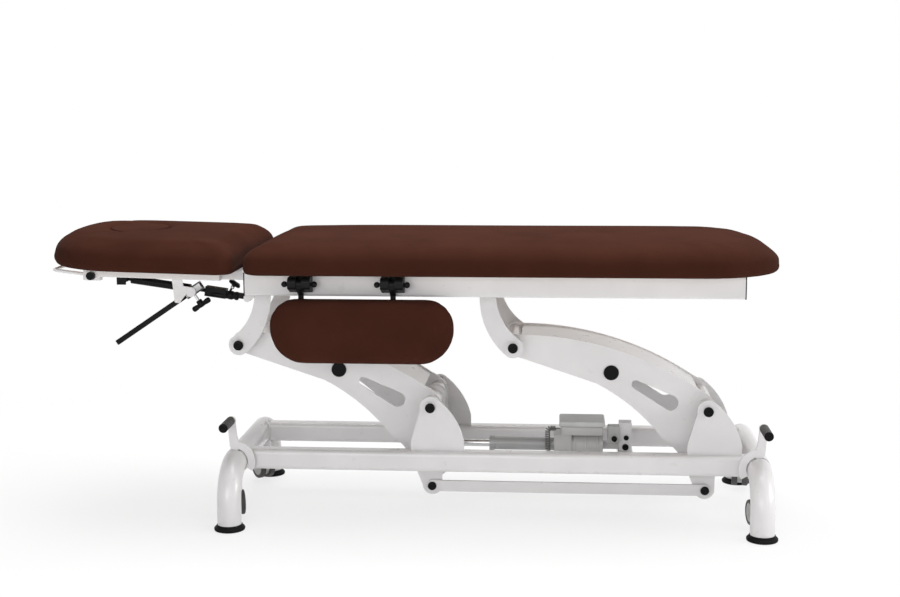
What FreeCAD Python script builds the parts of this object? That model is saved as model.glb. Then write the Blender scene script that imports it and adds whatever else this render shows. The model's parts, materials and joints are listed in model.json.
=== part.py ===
import FreeCAD, Part
import math
import os
import re
from types import SimpleNamespace

import Sketcher
from FreeCAD import Placement, Rotation, Vector

# Electric massage table in two sections on a parallelogram lift, in millimetres.
# +X points to the foot end, -X to the head end, -Y is the side with the pedals, the floor is z = 0.

# Driving dimensions, one sheet cell each.
SIZES = {
    # bed
    "bed_length": 1962.0,
    "bed_width": 620.0,
    "deck_height": 685.0,
    "pad_thick": 72.0,
    "pad_corner": 130.0,
    "seam_corner": 90.0,
    "pad_edge": 46.0,
    "pad_hem": 8.0,
    "board_thick": 12.0,
    "board_inset": 16.0,
    "seam_place": -438.0,
    "seam_gap": 8.0,
    "face_hole_place": -775.0,
    "face_hole_long": 150.0,
    "face_hole_wide": 230.0,
    "plug_rise": 5.0,
    # top frame
    "rail_high": 60.0,
    "rail_wide": 30.0,
    "rail_wall": 2.5,
    "rail_corner": 6.0,
    "frame_width": 480.0,
    "rail_start": -427.0,
    "rail_end": 870.0,
    "cap_thick": 3.0,
    "cross_wide": 40.0,
    "foot_cross_place": 835.0,
    "hanger_y": 150.0,
    "hanger_thick": 8.0,
    "hanger_eye": 28.0,
    # base
    "base_centre": 225.0,
    "foot_spacing": 1400.0,
    "foot_gauge": 551.2,
    "arch_radius": 32.0,
    "arch_wall": 3.0,
    "arch_height": 166.0,
    "arch_bend": 98.0,
    "foot_radius": 41.0,
    "foot_thick": 14.0,
    "foot_cup": 26.0,
    "side_rail_y": 153.0,
    "side_rail_wide": 50.0,
    "side_rail_high": 55.0,
    "side_rail_low": 139.0,
    "side_rail_corner": 12.0,
    "side_rail_wall": 3.0,
    "saddle_thick": 5.0,
    "lug_thick": 8.0,
    "lug_eye": 29.0,
    # lift
    "base_pivot_x": 52.5,
    "base_pivot_height": 312.5,
    "pivot_spacing": 740.0,
    "arm_length": 544.0,
    "arm_angle": 17.65,
    "arm_plate_y": 97.0,
    "arm_plate_thick": 6.0,
    "arm_eye": 29.0,
    "arm_crown": 72.0,
    "cover_thick": 3.0,
    "axle_radius": 10.0,
    "axle_cap_radius": 13.0,
    "axle_cap_thick": 6.0,
    "bearing_radius": 22.0,
    "bearing_half": 145.6,
    "lever_drop": 229.5,
    "plug_radius": 20.5,
    "tie_y": 108.0,
    "tie_thick": 8.0,
    "tie_high": 30.0,
    "tie_pin_radius": 6.0,
    # actuator
    "drive_drop": 139.5,
    "drive_y": 17.0,
    "drive_thick": 6.0,
    "drive_pin_radius": 6.0,
    "piston_radius": 10.0,
    "piston_eye_radius": 22.0,
    "ram_height": 178.0,
    "ram_tube_radius": 18.0,
    "ram_tube_start": 205.0,
    "motor_start": 385.0,
    "motor_end": 520.0,
    "motor_wide": 76.0,
    "motor_high": 70.0,
    "mount_place": 582.0,
    "mount_wide": 35.0,
    "mount_top": 245.0,
    "beam_wide": 40.0,
    "beam_high": 25.0,
    # head section
    "head_tilt": 1.5,
    "hinge_height": 672.0,
    "head_tube": 25.0,
    "head_tube_wall": 2.0,
    "head_frame_width": 450.0,
    "head_rail_start": -819.0,
    "head_rail_end": -502.0,
    "hinge_pin_radius": 5.0,
    "hinge_eye": 11.0,
    "hinge_plate_thick": 6.0,
    "roll_bar_radius": 4.5,
    "roll_bar_slope": 5.0,
    "roll_block_long": 45.0,
    "roll_bar_place": -950.0,
    "lever_bar_side": 14.0,
    "lever_bar_slope": 34.0,
    "lever_pivot_x": -582.0,
    "lever_pivot_height": 627.3,
    "lever_bar_below": 251.0,
    "lever_bar_above": 31.0,
    "sleeve_side": 23.0,
    "sleeve_long": 38.0,
    "spring_y": -150.0,
    "spring_head_x": -770.0,
    "spring_head_height": 656.0,
    "spring_foot_x": -437.0,
    "spring_foot_height": 607.0,
    "spring_radius": 11.0,
    "spring_rod_radius": 5.0,
    "spring_pin_radius": 4.0,
    "spring_eye_rise": 1.7,
    "spring_eye_slack": 3.4,
    # armrest
    "armrest_start": -347.0,
    "armrest_long": 474.0,
    "armrest_top": 625.5,
    "armrest_high": 168.0,
    "armrest_thick": 38.0,
    "armrest_face": 302.0,
    "armrest_corner": 63.0,
    "armrest_low_corner": 102.0,
    "armrest_edge": 14.0,
    "armrest_board_thick": 10.0,
    "armrest_pin_y": 275.0,
    "armrest_pin_height": 661.0,
    "armrest_pin_radius": 5.0,
    "clamp_wide": 59.0,
    "clamp_near_x": -275.5,
    "clamp_far_x": -34.0,
    # castors and pedals
    "castor_y": 190.0,
    "castor_radius": 34.0,
    "castor_lift": 12.0,
    "castor_wheel_wide": 16.0,
    "castor_gap": 14.0,
    "castor_trail": 12.0,
    "plunger_radius": 11.0,
    "socket_radius": 18.0,
    "socket_low": 106.0,
    "pedal_height": 278.0,
    "pedal_wide": 24.0,
    "pedal_thick": 8.0,
    "pedal_lean": 8.0,
    "pedal_inner": 34.5,
    "pedal_outer": 54.0,
    "grip_radius": 11.0,
    "grip_start": 285.0,
    "grip_end": 182.0,
    "shaft_radius": 7.0,
    # fits
    "running_fit": 0.08,
    "part_gap": 0.3,
    "open_pivot": 0.4,
}

S = SimpleNamespace(**SIZES)

doc = FreeCAD.newDocument("MassageTable")
sheet = doc.addObject("Spreadsheet::Sheet", "Sizes")
for row, (word, number) in enumerate(SIZES.items(), start=1):
    sheet.set("A%d" % row, word)
    sheet.set("B%d" % row, str(number))
    sheet.setAlias("B%d" % row, word)
doc.recompute()

# Places worked out from the driving dimensions.
half_length = S.bed_length / 2
half_width = S.bed_width / 2
frame_out = S.frame_width / 2
frame_in = frame_out - S.rail_wide
frame_bottom = S.deck_height - S.rail_high
head_arch_x = S.base_centre - S.foot_spacing / 2
foot_arch_x = S.base_centre + S.foot_spacing / 2
arch_straight = S.foot_gauge / 2 - S.arch_bend
side_rail_top = S.side_rail_low + S.side_rail_high
arm_turn = math.radians(S.arm_angle)
top_pivot_x = S.base_pivot_x - S.arm_length * math.cos(arm_turn)
top_pivot_height = S.base_pivot_height + S.arm_length * math.sin(arm_turn)
hinge_point = Vector(S.seam_place, 0, S.hinge_height)
head_lean = Placement(Vector(), Rotation(Vector(0, 1, 0), S.head_tilt), hinge_point)

pieces = []


def spelled(formula):
    """Write a formula with the sheet's name before each cell alias."""
    return re.sub(r"[a-z_]+", lambda found: "Sizes." + found.group(0)
                  if found.group(0) in SIZES else found.group(0), formula)


def bind(thing, **formulas):
    for name, formula in formulas.items():
        thing.setExpression(name, spelled(formula))
    return thing


def keep(label, thing, lean=False):
    """Name a finished sub-part, leaned with the head section where it belongs to it."""
    thing.Label = label
    if lean:
        thing.Placement = head_lean.multiply(thing.Placement)
    pieces.append(thing)
    return thing


def block(name, corner, length, width, height):
    solid = doc.addObject("Part::Box", name)
    bind(solid, Length=length, Width=width, Height=height)
    solid.Placement.Base = Vector(*corner)
    return solid


def bar(name, radius, length, start, direction):
    """A cylinder from a start point along a direction."""
    solid = doc.addObject("Part::Cylinder", name)
    bind(solid, Radius=radius, Height=length)
    turn = Rotation(Vector(0, 0, 1), Vector(*direction))
    solid.Placement = Placement(Vector(*start), turn)
    return solid


def ball(name, radius, centre):
    solid = doc.addObject("Part::Sphere", name)
    bind(solid, Radius=radius)
    solid.Placement.Base = Vector(*centre)
    return solid


def cut(name, base, *tools):
    tool = tools[0] if len(tools) == 1 else fuse(name + "_tools", *tools)
    result = doc.addObject("Part::Cut", name)
    result.Base = base
    result.Tool = tool
    return result


def fuse(name, *things):
    result = doc.addObject("Part::MultiFuse", name)
    result.Shapes = list(things)
    return result


def common(name, base, tool):
    result = doc.addObject("Part::Common", name)
    result.Base = base
    result.Tool = tool
    return result


def group(name, *things):
    result = doc.addObject("Part::Compound", name)
    result.Links = list(things)
    return result


def across(name, thing):
    """The same piece on the other side of the table's long centre line."""
    result = doc.addObject("Part::Mirroring", name)
    result.Source = thing
    result.Normal = Vector(0, 1, 0)
    return result


def moved(name, thing, shift):
    result = group(name, thing)
    result.Placement.Base = Vector(*shift)
    return result


def new_body(name):
    return doc.addObject("PartDesign::Body", name)


def sketch_in(body, role, name, offset=0.0):
    sketch = body.newObject("Sketcher::SketchObject", name)
    plane = [feature for feature in body.Origin.OriginFeatures if feature.Role == role][0]
    sketch.AttachmentSupport = [(plane, "")]
    sketch.MapMode = "FlatFace"
    sketch.AttachmentOffset.Base = Vector(0, 0, offset)
    return sketch


def trace(sketch, start, steps):
    """Draw an outline: each step is an end point, or a middle and an end point for an arc."""
    here = Vector(start[0], start[1], 0)
    for step in steps:
        end = Vector(step[-2], step[-1], 0)
        if len(step) == 2:
            sketch.addGeometry(Part.LineSegment(here, end))
        else:
            sketch.addGeometry(Part.Arc(here, Vector(step[0], step[1], 0), end))
        here = end
    return sketch


def ring(sketch, centre, radius):
    circle = Part.Circle(Vector(centre[0], centre[1], 0), Vector(0, 0, 1), 1.0)
    index = sketch.addGeometry(circle)
    sketch.addConstraint([
        Sketcher.Constraint("DistanceX", -1, 1, index, 3, centre[0]),
        Sketcher.Constraint("DistanceY", -1, 1, index, 3, centre[1]),
    ])
    radius_rule = sketch.addConstraint(Sketcher.Constraint("Radius", index, 1.0))
    sketch.setExpression("Constraints[%d]" % radius_rule, spelled(radius))
    return index


def rounded_rectangle(sketch, width, height, corner, sizes):
    """A centred rectangle with round corners, held by constraints bound to the sheet."""
    wide, high, turn = sizes
    x_line = wide / 2 - turn
    z_line = high / 2 - turn
    up = Vector(0, 0, 1)
    corners = [(x_line, -z_line, -90), (x_line, z_line, 0), (-x_line, z_line, 90), (-x_line, -z_line, 180)]
    arcs = []
    for centre_x, centre_z, angle in corners:
        circle = Part.Circle(Vector(centre_x, centre_z, 0), up, turn)
        arcs.append(sketch.addGeometry(Part.ArcOfCircle(circle, math.radians(angle), math.radians(angle + 90))))
    lines = []
    for number in range(4):
        first = sketch.getPoint(arcs[number], 2)
        last = sketch.getPoint(arcs[(number + 1) % 4], 1)
        lines.append(sketch.addGeometry(Part.LineSegment(first, last)))
    rules = []
    for number in range(4):
        rules.append(Sketcher.Constraint("Tangent", arcs[number], 2, lines[number], 1))
        rules.append(Sketcher.Constraint("Tangent", lines[number], 2, arcs[(number + 1) % 4], 1))
    for number in range(1, 4):
        rules.append(Sketcher.Constraint("Equal", arcs[0], arcs[number]))
    rules.append(Sketcher.Constraint("Vertical", lines[0]))
    rules.append(Sketcher.Constraint("Horizontal", lines[1]))
    rules.append(Sketcher.Constraint("Symmetric", arcs[0], 3, arcs[2], 3, -1, 1))
    sketch.addConstraint(rules)
    across_rule = sketch.addConstraint(Sketcher.Constraint("DistanceX", arcs[3], 3, arcs[0], 3, 2 * x_line))
    upright_rule = sketch.addConstraint(Sketcher.Constraint("DistanceY", arcs[0], 3, arcs[1], 3, 2 * z_line))
    corner_rule = sketch.addConstraint(Sketcher.Constraint("Radius", arcs[0], turn))
    sketch.setExpression("Constraints[%d]" % across_rule, spelled("%s - 2 * (%s)" % (width, corner)))
    sketch.setExpression("Constraints[%d]" % upright_rule, spelled("%s - 2 * (%s)" % (height, corner)))
    sketch.setExpression("Constraints[%d]" % corner_rule, spelled(corner))
    return sketch


def pad(body, sketch, length, symmetric=False, reverse=False):
    feature = body.newObject("PartDesign::Pad", sketch.Name + "_pad")
    feature.Profile = sketch
    bind(feature, Length=length)
    feature.SideType = "Symmetric" if symmetric else "One side"
    feature.Reversed = reverse
    return feature


def pocket(body, sketch, length, symmetric=False, reverse=False):
    feature = body.newObject("PartDesign::Pocket", sketch.Name + "_pocket")
    feature.Profile = sketch
    bind(feature, Length=length)
    feature.SideType = "Symmetric" if symmetric else "One side"
    feature.Reversed = reverse
    return feature


def plate(name, start, steps, thickness, holes=()):
    """An upright plate in the XZ plane, as thick either side of it, with round holes."""
    body = new_body(name)
    sketch = sketch_in(body, "XZ_Plane", name + "_outline")
    trace(sketch, start, steps)
    for centre, radius in holes:
        ring(sketch, centre, radius)
    pad(body, sketch, thickness, symmetric=True)
    return body


def hollow_tube(name, role, wide, high, wall, corner, length, sizes):
    """A rectangular tube with round corners, pushed out of one origin plane."""
    body = new_body(name)
    wide_size, high_size, wall_size, corner_size = sizes
    sketch = sketch_in(body, role, name + "_section")
    rounded_rectangle(sketch, wide, high, corner, (wide_size, high_size, corner_size))
    inner = (wide_size - 2 * wall_size, high_size - 2 * wall_size, corner_size - wall_size)
    rounded_rectangle(sketch, "%s - 2 * %s" % (wide, wall), "%s - 2 * %s" % (high, wall),
                      "%s - %s" % (corner, wall), inner)
    pad(body, sketch, length)
    return body


# End arches: an upside-down U of round tube across each end, with the castor sockets under
# its bends and a slot in the top for the pedal.


def arch_pipe(name, radius):
    body = new_body(name)
    gauge = S.foot_gauge / 2
    bend_height = S.arch_height - S.arch_bend
    corner_y = S.arch_bend * math.sin(math.radians(45))
    path = sketch_in(body, "YZ_Plane", name + "_path")
    trace(path, (-gauge, S.foot_thick), [
        (-gauge, bend_height),
        (-arch_straight - corner_y, bend_height + corner_y, -arch_straight, S.arch_height),
        (arch_straight, S.arch_height),
        (arch_straight + corner_y, bend_height + corner_y, gauge, bend_height),
        (gauge, S.foot_thick),
    ])
    section = sketch_in(body, "XY_Plane", name + "_section", S.foot_thick)
    ring(section, (0, -gauge), radius)
    pipe = body.newObject("PartDesign::AdditivePipe", name + "_pipe")
    pipe.Profile = section
    pipe.Spine = path
    return body


def end_arch(label, arch_x, outward):
    outer = arch_pipe(label + "_outside", "arch_radius")
    inner = arch_pipe(label + "_inside", "arch_radius - arch_wall")
    sockets = []
    bores = []
    for side, place in (("near", -S.castor_y), ("far", S.castor_y)):
        start = (0, place, S.socket_low)
        sockets.append(bar("%s_socket_%s" % (label, side), "socket_radius",
                           "arch_height - socket_low - arch_radius / 2", start, (0, 0, 1)))
        bores.append(bar("%s_bore_%s" % (label, side), "plunger_radius + running_fit",
                         "arch_height - socket_low", start, (0, 0, 1)))
    bushes = []
    shaft_bores = []
    for number, place in enumerate((-150.0, -60.0)):
        bushes.append(bar("%s_bush_%d" % (label, number), "arch_radius - arch_wall", "pedal_wide / 2",
                          (0, place, S.arch_height), (0, 1, 0)))
        shaft_bores.append(bar("%s_shaft_bore_%d" % (label, number), "shaft_radius + running_fit",
                               "pedal_wide", (0, place - 2, S.arch_height), (0, 1, 0)))
    reach_out = S.arch_radius + 8
    reach_in = S.pedal_wide / 2 + 3
    slot_start = -reach_in if outward > 0 else -reach_out
    slot = block(label + "_slot", (slot_start, -S.castor_y - S.pedal_thick / 2 - 1.5, S.arch_height + 10),
                 "arch_radius + 8 + pedal_wide / 2 + 3", "pedal_thick + 3", "arch_radius")
    shell = cut(label + "_shell", fuse(label + "_solid", outer, *sockets), inner, slot)
    fitted = fuse(label + "_fitted", shell, *bushes)
    arch = cut(label, fitted, *(bores + shaft_bores))
    arch.Placement.Base = Vector(arch_x, 0, 0)
    keep(label, arch)


# Rubber feet: a cup turned round each leg end.


def rubber_feet():
    body = new_body("rubber_foot")
    sketch = sketch_in(body, "XZ_Plane", "rubber_foot_profile")
    cup_inner = S.arch_radius + S.part_gap / 2
    trace(sketch, (0, 0), [
        (S.foot_radius - 3, 0),
        (S.foot_radius - 0.9, 0.9, S.foot_radius, 3),
        (S.foot_radius - 1, S.foot_thick),
        (cup_inner + 3, S.foot_cup),
        (cup_inner, S.foot_cup),
        (cup_inner, S.foot_thick),
        (0, S.foot_thick),
        (0, 0),
    ])
    turn = body.newObject("PartDesign::Revolution", "rubber_foot_turn")
    turn.Profile = sketch
    turn.ReferenceAxis = (sketch, ["V_Axis"])
    turn.Angle = 360
    feet = []
    for number, arch_x in enumerate((head_arch_x, foot_arch_x)):
        for side in (-1, 1):
            feet.append(moved("foot_%d_%s" % (number, "near" if side < 0 else "far"), body,
                              (arch_x, side * S.foot_gauge / 2, 0)))
    keep("rubber_feet", group("rubber_feet_group", *feet))


# Base side rails: rectangular tube coped round the arches, each end on a curved saddle
# with a screw through its top.


def side_rail(label, side):
    centre_height = S.side_rail_low + S.side_rail_high / 2
    tube = hollow_tube(label + "_tube", "YZ_Plane", "side_rail_wide", "side_rail_high", "side_rail_wall",
                       "side_rail_corner", "foot_spacing",
                       (S.side_rail_wide, S.side_rail_high, S.side_rail_wall, S.side_rail_corner))
    tube.Placement.Base = Vector(head_arch_x, side * S.side_rail_y, centre_height)
    parts = [tube]
    copes = []
    past = 5.0
    saddle_start = 15.0
    screw_angle = math.radians(52)
    saddle_y = side * S.side_rail_y - S.side_rail_wide / 2
    for end, arch_x in (("head", head_arch_x), ("foot", foot_arch_x)):
        inward = 1 if arch_x < S.base_centre else -1
        copes.append(bar("%s_cope_%s" % (label, end), "arch_radius + part_gap / 2", "side_rail_wide + 10",
                         (arch_x, saddle_y - past, S.arch_height), (0, 1, 0)))
        shell = bar("%s_saddle_%s" % (label, end), "arch_radius + saddle_thick", "side_rail_wide",
                    (arch_x, saddle_y, S.arch_height), (0, 1, 0))
        half_x = arch_x + (saddle_start if inward > 0 else -saddle_start - 2 * S.arch_radius)
        half = block("%s_saddle_half_%s" % (label, end),
                     (half_x, saddle_y - past, S.arch_height - 2 * S.arch_radius),
                     "2 * arch_radius", "side_rail_wide + 10", "4 * arch_radius")
        parts.append(common("%s_saddle_part_%s" % (label, end), shell, half))
        out = Vector(inward * math.cos(screw_angle), 0, math.sin(screw_angle))
        centre = Vector(arch_x, side * S.side_rail_y, S.arch_height)
        seat = centre + out * (S.arch_radius + S.saddle_thick - 1)
        parts.append(bar("%s_screw_%s" % (label, end), "5", "4", tuple(seat), tuple(out)))
    joined = fuse(label + "_joined", *parts)
    keep(label, cut(label, joined, *copes))


# Pivot lugs: two plates for each arm, standing on the side rails.


def base_lug(name):
    foot = side_rail_top - S.base_pivot_height
    eye = S.lug_eye
    return plate(name, (-53, foot), [
        (-53, foot + 26),
        (-eye + 1, -7),
        (-4, eye - 0.3, 21, 20),
        (65, -29, 91, foot + 28),
        (91, foot),
        (-53, foot),
    ], "lug_thick", [((0, 0), "axle_radius + part_gap / 6")])


def base_lugs():
    lug = base_lug("base_lug")
    copies = []
    for end, pivot_x in (("head", S.base_pivot_x), ("foot", S.base_pivot_x + S.pivot_spacing)):
        for side in (-1, 1):
            copies.append(moved("lug_%s_%s" % (end, "near" if side < 0 else "far"), lug,
                                (pivot_x, side * S.side_rail_y, S.base_pivot_height)))
    keep("base_lugs", group("base_lugs_group", *copies))


def pivot_axles(label, pivot_x, height, outer_face):
    """Two cross axles with a round cap on each end."""
    axles = []
    for number in range(2):
        place = pivot_x + number * S.pivot_spacing
        shaft = bar("%s_shaft_%d" % (label, number), "axle_radius", "%g" % (2 * outer_face),
                    (place, -outer_face, height), (0, 1, 0))
        cap = bar("%s_cap_%d" % (label, number), "axle_cap_radius", "axle_cap_thick",
                  (place, outer_face, height), (0, 1, 0))
        near_cap = across("%s_near_cap_%d" % (label, number), cap)
        axles.append(fuse("%s_axle_%d" % (label, number), shaft, cap, near_cap))
    keep(label, group(label + "_group", *axles))


# Lift arms: two shaped side plates with a round plug and a tapered slot, a curved cover
# between them and a bearing tube at each end. The plates run on down as levers.


def arm_point(along, above):
    """A point of the arm, measured from the base pivot along its centre line and above it."""
    return (-along * math.cos(arm_turn) + above * math.sin(arm_turn),
            along * math.sin(arm_turn) + above * math.cos(arm_turn))


def plug_centre():
    """Where the round plug sits in an arm's side plate."""
    return (-0.469 * S.arm_length, 90.0)


def arm_plate(name, pin_clear):
    far = S.arm_length
    eye = S.arm_eye
    end = S.lever_drop
    crown = arm_point(0.54 * far, S.arm_crown)
    top_end = arm_point(far - 4, eye)
    low_end = arm_point(far - 4, -eye)
    tip = arm_point(far + eye, 0)
    belly = arm_point(0.55 * far, -32)
    elbow = arm_point(0.15 * far, -0.525 * end)
    elbow_middle = arm_point(0.3 * far, -74)
    lever_wide = S.tie_high - 3
    outline = [
        crown + (-17, 46),
        (12, 25, eye, -6),
        (lever_wide, -end),
        (0, -end - lever_wide, -lever_wide, -end),
        (-40, -end + 32),
        (-68, -0.59 * end) + elbow,
        elbow_middle + belly,
        low_end,
        tip + top_end,
    ]
    holes = [((0, 0), "bearing_radius + part_gap / 3"),
             (arm_point(far, 0), "bearing_radius + part_gap / 3"),
             ((0, -end), "tie_pin_radius + %s" % pin_clear),
             (plug_centre(), "plug_radius")]
    body = plate(name, top_end, outline, "arm_plate_thick", holes)
    narrow = Vector(-0.347 * far, 58, 0)
    broad = Vector(-0.175 * far, 9, 0)
    narrow_radius = 12.0
    broad_radius = 21.0
    slot = sketch_in(body, "XZ_Plane", name + "_slot")
    span = broad - narrow
    side = Vector(-span.y, span.x, 0).normalize()
    heading = Vector(span).normalize()
    trace(slot, tuple(narrow + side * narrow_radius)[:2], [
        tuple(broad + side * broad_radius)[:2],
        tuple(broad + heading * broad_radius)[:2] + tuple(broad - side * broad_radius)[:2],
        tuple(narrow - side * narrow_radius)[:2],
        tuple(narrow - heading * narrow_radius)[:2] + tuple(narrow + side * narrow_radius)[:2],
    ])
    pocket(body, slot, "2 * arm_plate_thick", symmetric=True)
    return body


def arm_cover(name):
    body = new_body(name)
    sketch = sketch_in(body, "XZ_Plane", name + "_band")
    far = S.arm_length
    rise = 2.0
    outer_start = arm_point(far - 14, S.arm_eye - rise)
    outer_middle = arm_point(0.54 * far, S.arm_crown - rise)
    outer_end = arm_point(34, 36)
    inner_start = arm_point(far - 14, S.arm_eye - rise - S.cover_thick)
    inner_middle = arm_point(0.54 * far, S.arm_crown - rise - S.cover_thick)
    inner_end = arm_point(34, 36 - S.cover_thick)
    trace(sketch, outer_start, [
        outer_middle + outer_end,
        inner_end,
        inner_middle + inner_start,
        outer_start,
    ])
    pad(body, sketch, "2 * (arm_plate_y - arm_plate_thick / 2 - part_gap)", symmetric=True)
    return body


def arm_tubes(name, top_bore, drives):
    parts = []
    bores = []
    for end, place, bore in (("base", (0, 0), "axle_radius + running_fit"),
                             ("top", arm_point(S.arm_length, 0), top_bore)):
        start = (place[0], -S.bearing_half, place[1])
        parts.append(bar("%s_%s" % (name, end), "bearing_radius", "2 * bearing_half", start, (0, 1, 0)))
        bores.append(bar("%s_%s_bore" % (name, end), bore, "2 * bearing_half", start, (0, 1, 0)))
    tubes = cut(name + "_bored", fuse(name + "_solid", *parts), *bores)
    if not drives:
        return tubes
    drop = S.drive_drop
    lever = plate(name + "_drive", (-30, 0), [
        (-17, -drop),
        (0, -drop - 17, 17, -drop),
        (30, 0),
        (0, 30, -30, 0),
    ], "drive_thick", [((0, 0), "bearing_radius - 1")])
    near = moved(name + "_drive_near", lever, (0, -S.drive_y, 0))
    far = moved(name + "_drive_far", lever, (0, S.drive_y, 0))
    reach = S.drive_y + S.drive_thick
    pin = bar(name + "_drive_pin", "drive_pin_radius", "2 * (drive_y + drive_thick)",
              (0, -reach, -drop), (0, 1, 0))
    return fuse(name + "_driven", tubes, near, far, pin)


def lift_arm(prefix, pivot_x, top_bore, pin_clear, drives):
    shift = (pivot_x, 0, S.base_pivot_height)
    side = arm_plate(prefix + "_plate", pin_clear)
    near = moved(prefix + "_plate_near", side, (0, -S.arm_plate_y, 0))
    far = moved(prefix + "_plate_far", side, (0, S.arm_plate_y, 0))
    keep(prefix + "_plates", moved(prefix + "_plates", group(prefix + "_pair", near, far), shift))
    keep(prefix + "_cover", moved(prefix + "_cover", arm_cover(prefix + "_band"), shift))
    keep(prefix + "_tubes", moved(prefix + "_tubes", arm_tubes(prefix + "_tube", top_bore, drives), shift))
    plug_proud = 2.0
    plug_reach = S.arm_plate_y + S.arm_plate_thick / 2 + plug_proud
    plug_x, plug_z = plug_centre()
    plug = bar(prefix + "_plug", "plug_radius - part_gap / 3", "arm_plate_thick + %g" % (2 * plug_proud),
               (plug_x, -plug_reach, plug_z), (0, 1, 0))
    keep(prefix + "_plugs", moved(prefix + "_plugs", group(prefix + "_plug_pair", plug,
                                                          across(prefix + "_plug_far", plug)), shift))


# Tie rods: a flat bar on each side joins the two levers, with a headed pin at each end.


def tie_rods():
    half = S.tie_high / 2
    height = S.base_pivot_height - S.lever_drop
    rod = plate("tie_bar", (0, -half), [
        (S.pivot_spacing, -half),
        (S.pivot_spacing + half, 0, S.pivot_spacing, half),
        (0, half),
        (-half, 0, 0, -half),
    ], "tie_thick")
    rod.Placement.Base = Vector(S.base_pivot_x, -S.tie_y, height)
    parts = [rod]
    outer = S.tie_y + S.tie_thick / 2 + 4
    for number in range(2):
        place = S.base_pivot_x + number * S.pivot_spacing
        start = (place, -outer, height)
        parts.append(bar("tie_pin_%d" % number, "tie_pin_radius", "%g" % (outer - S.arm_plate_y + 7),
                         start, (0, 1, 0)))
        parts.append(bar("tie_head_%d" % number, "tie_pin_radius + 5", "4", start, (0, 1, 0)))
    near = fuse("tie_rod_near", *parts)
    keep("tie_rods", group("tie_rod_pair", near, across("tie_rod_far", near)))


# Cross beam with the actuator's two mounting plates and their pin.


def cross_beam():
    inner = S.side_rail_y - S.side_rail_wide / 2 - S.part_gap
    beam_low = S.side_rail_low + 2
    beam = block("beam", (S.mount_place - S.beam_wide / 2, -inner, beam_low),
                 "beam_wide", "%g" % (2 * inner), "beam_high")
    parts = [beam]
    foot = beam_low + S.beam_high
    for side in (-1, 1):
        low = block("mount_plate_%s" % ("near" if side < 0 else "far"),
                    (S.mount_place - S.mount_wide / 2, side * 19 - 3, foot - 1),
                    "mount_wide", "6", "%g" % (S.mount_top - foot + 1))
        parts.append(low)
    pin = bar("mount_pin", "5", "50", (S.mount_place, -25, S.ram_height), (0, 1, 0))
    keep("cross_beam", fuse("cross_beam", *(parts + [pin])))


# Linear actuator: motor and gear housing, outer tube and the piston rod with a slotted eye.


def actuator():
    low = S.ram_height - S.motor_high / 2
    gear_long = 48.0
    gear = block("gear_case", (S.motor_start, -S.motor_wide / 2, low), "%g" % gear_long, "motor_wide", "motor_high")
    motor = bar("motor_can", "motor_high / 2 - 2", "motor_end - motor_start - %g" % gear_long,
                (S.motor_start + gear_long, 0, S.ram_height), (1, 0, 0))
    tongue = block("rear_tongue", (S.motor_end - 4, -8, S.ram_height - 10),
                   "mount_place - motor_end + 4", "16", "20")
    eye = bar("rear_eye", "10", "16", (S.mount_place, -8, S.ram_height), (0, 1, 0))
    bore = bar("rear_bore", "5 + part_gap / 3", "20", (S.mount_place, -10, S.ram_height), (0, 1, 0))
    nose_bore = bar("nose_bore", "ram_tube_radius + part_gap / 3", "12",
                    (S.motor_start - 1, 0, S.ram_height), (1, 0, 0))
    keep("actuator_motor", cut("actuator_motor", fuse("motor_solid", gear, motor, tongue, eye), bore, nose_bore))
    tube = bar("ram_tube", "ram_tube_radius", "motor_start - ram_tube_start + 10.5",
               (S.ram_tube_start, 0, S.ram_height), (1, 0, 0))
    collar = bar("ram_collar", "ram_tube_radius + 3", "14", (S.ram_tube_start, 0, S.ram_height), (1, 0, 0))
    ram_bore = bar("ram_bore", "piston_radius + running_fit", "motor_start - ram_tube_start - 6",
                   (S.ram_tube_start, 0, S.ram_height), (1, 0, 0))
    keep("actuator_tube", cut("actuator_tube", fuse("ram_solid", tube, collar), ram_bore))
    rod_start = S.base_pivot_x + S.piston_eye_radius - 4
    rod = bar("piston_bar", "piston_radius", "%g" % (S.ram_tube_start + 95 - rod_start),
              (rod_start, 0, S.ram_height), (1, 0, 0))
    eye_half = 11.0
    slot_radius = S.drive_pin_radius + 1.2
    slot_low = S.base_pivot_height - S.drive_drop - S.ram_height - 1
    slot_high = slot_low + 13
    rod_eye = plate("piston_eye", (-S.piston_eye_radius, 0), [
        (0, S.piston_eye_radius, S.piston_eye_radius, 0),
        (0, -S.piston_eye_radius, -S.piston_eye_radius, 0),
    ], "%g" % (2 * eye_half))
    slot = sketch_in(rod_eye, "XZ_Plane", "piston_slot")
    trace(slot, (-slot_radius, slot_low), [
        (0, slot_low - slot_radius, slot_radius, slot_low),
        (slot_radius, slot_high),
        (0, slot_high + slot_radius, -slot_radius, slot_high),
        (-slot_radius, slot_low),
    ])
    pocket(rod_eye, slot, "%g" % (4 * eye_half), symmetric=True)
    rod_eye.Placement.Base = Vector(S.base_pivot_x, 0, S.ram_height)
    keep("actuator_rod", fuse("actuator_rod", rod, rod_eye))


# Control box on the motor, with the small terminal box behind it, and the curly lead.


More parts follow.
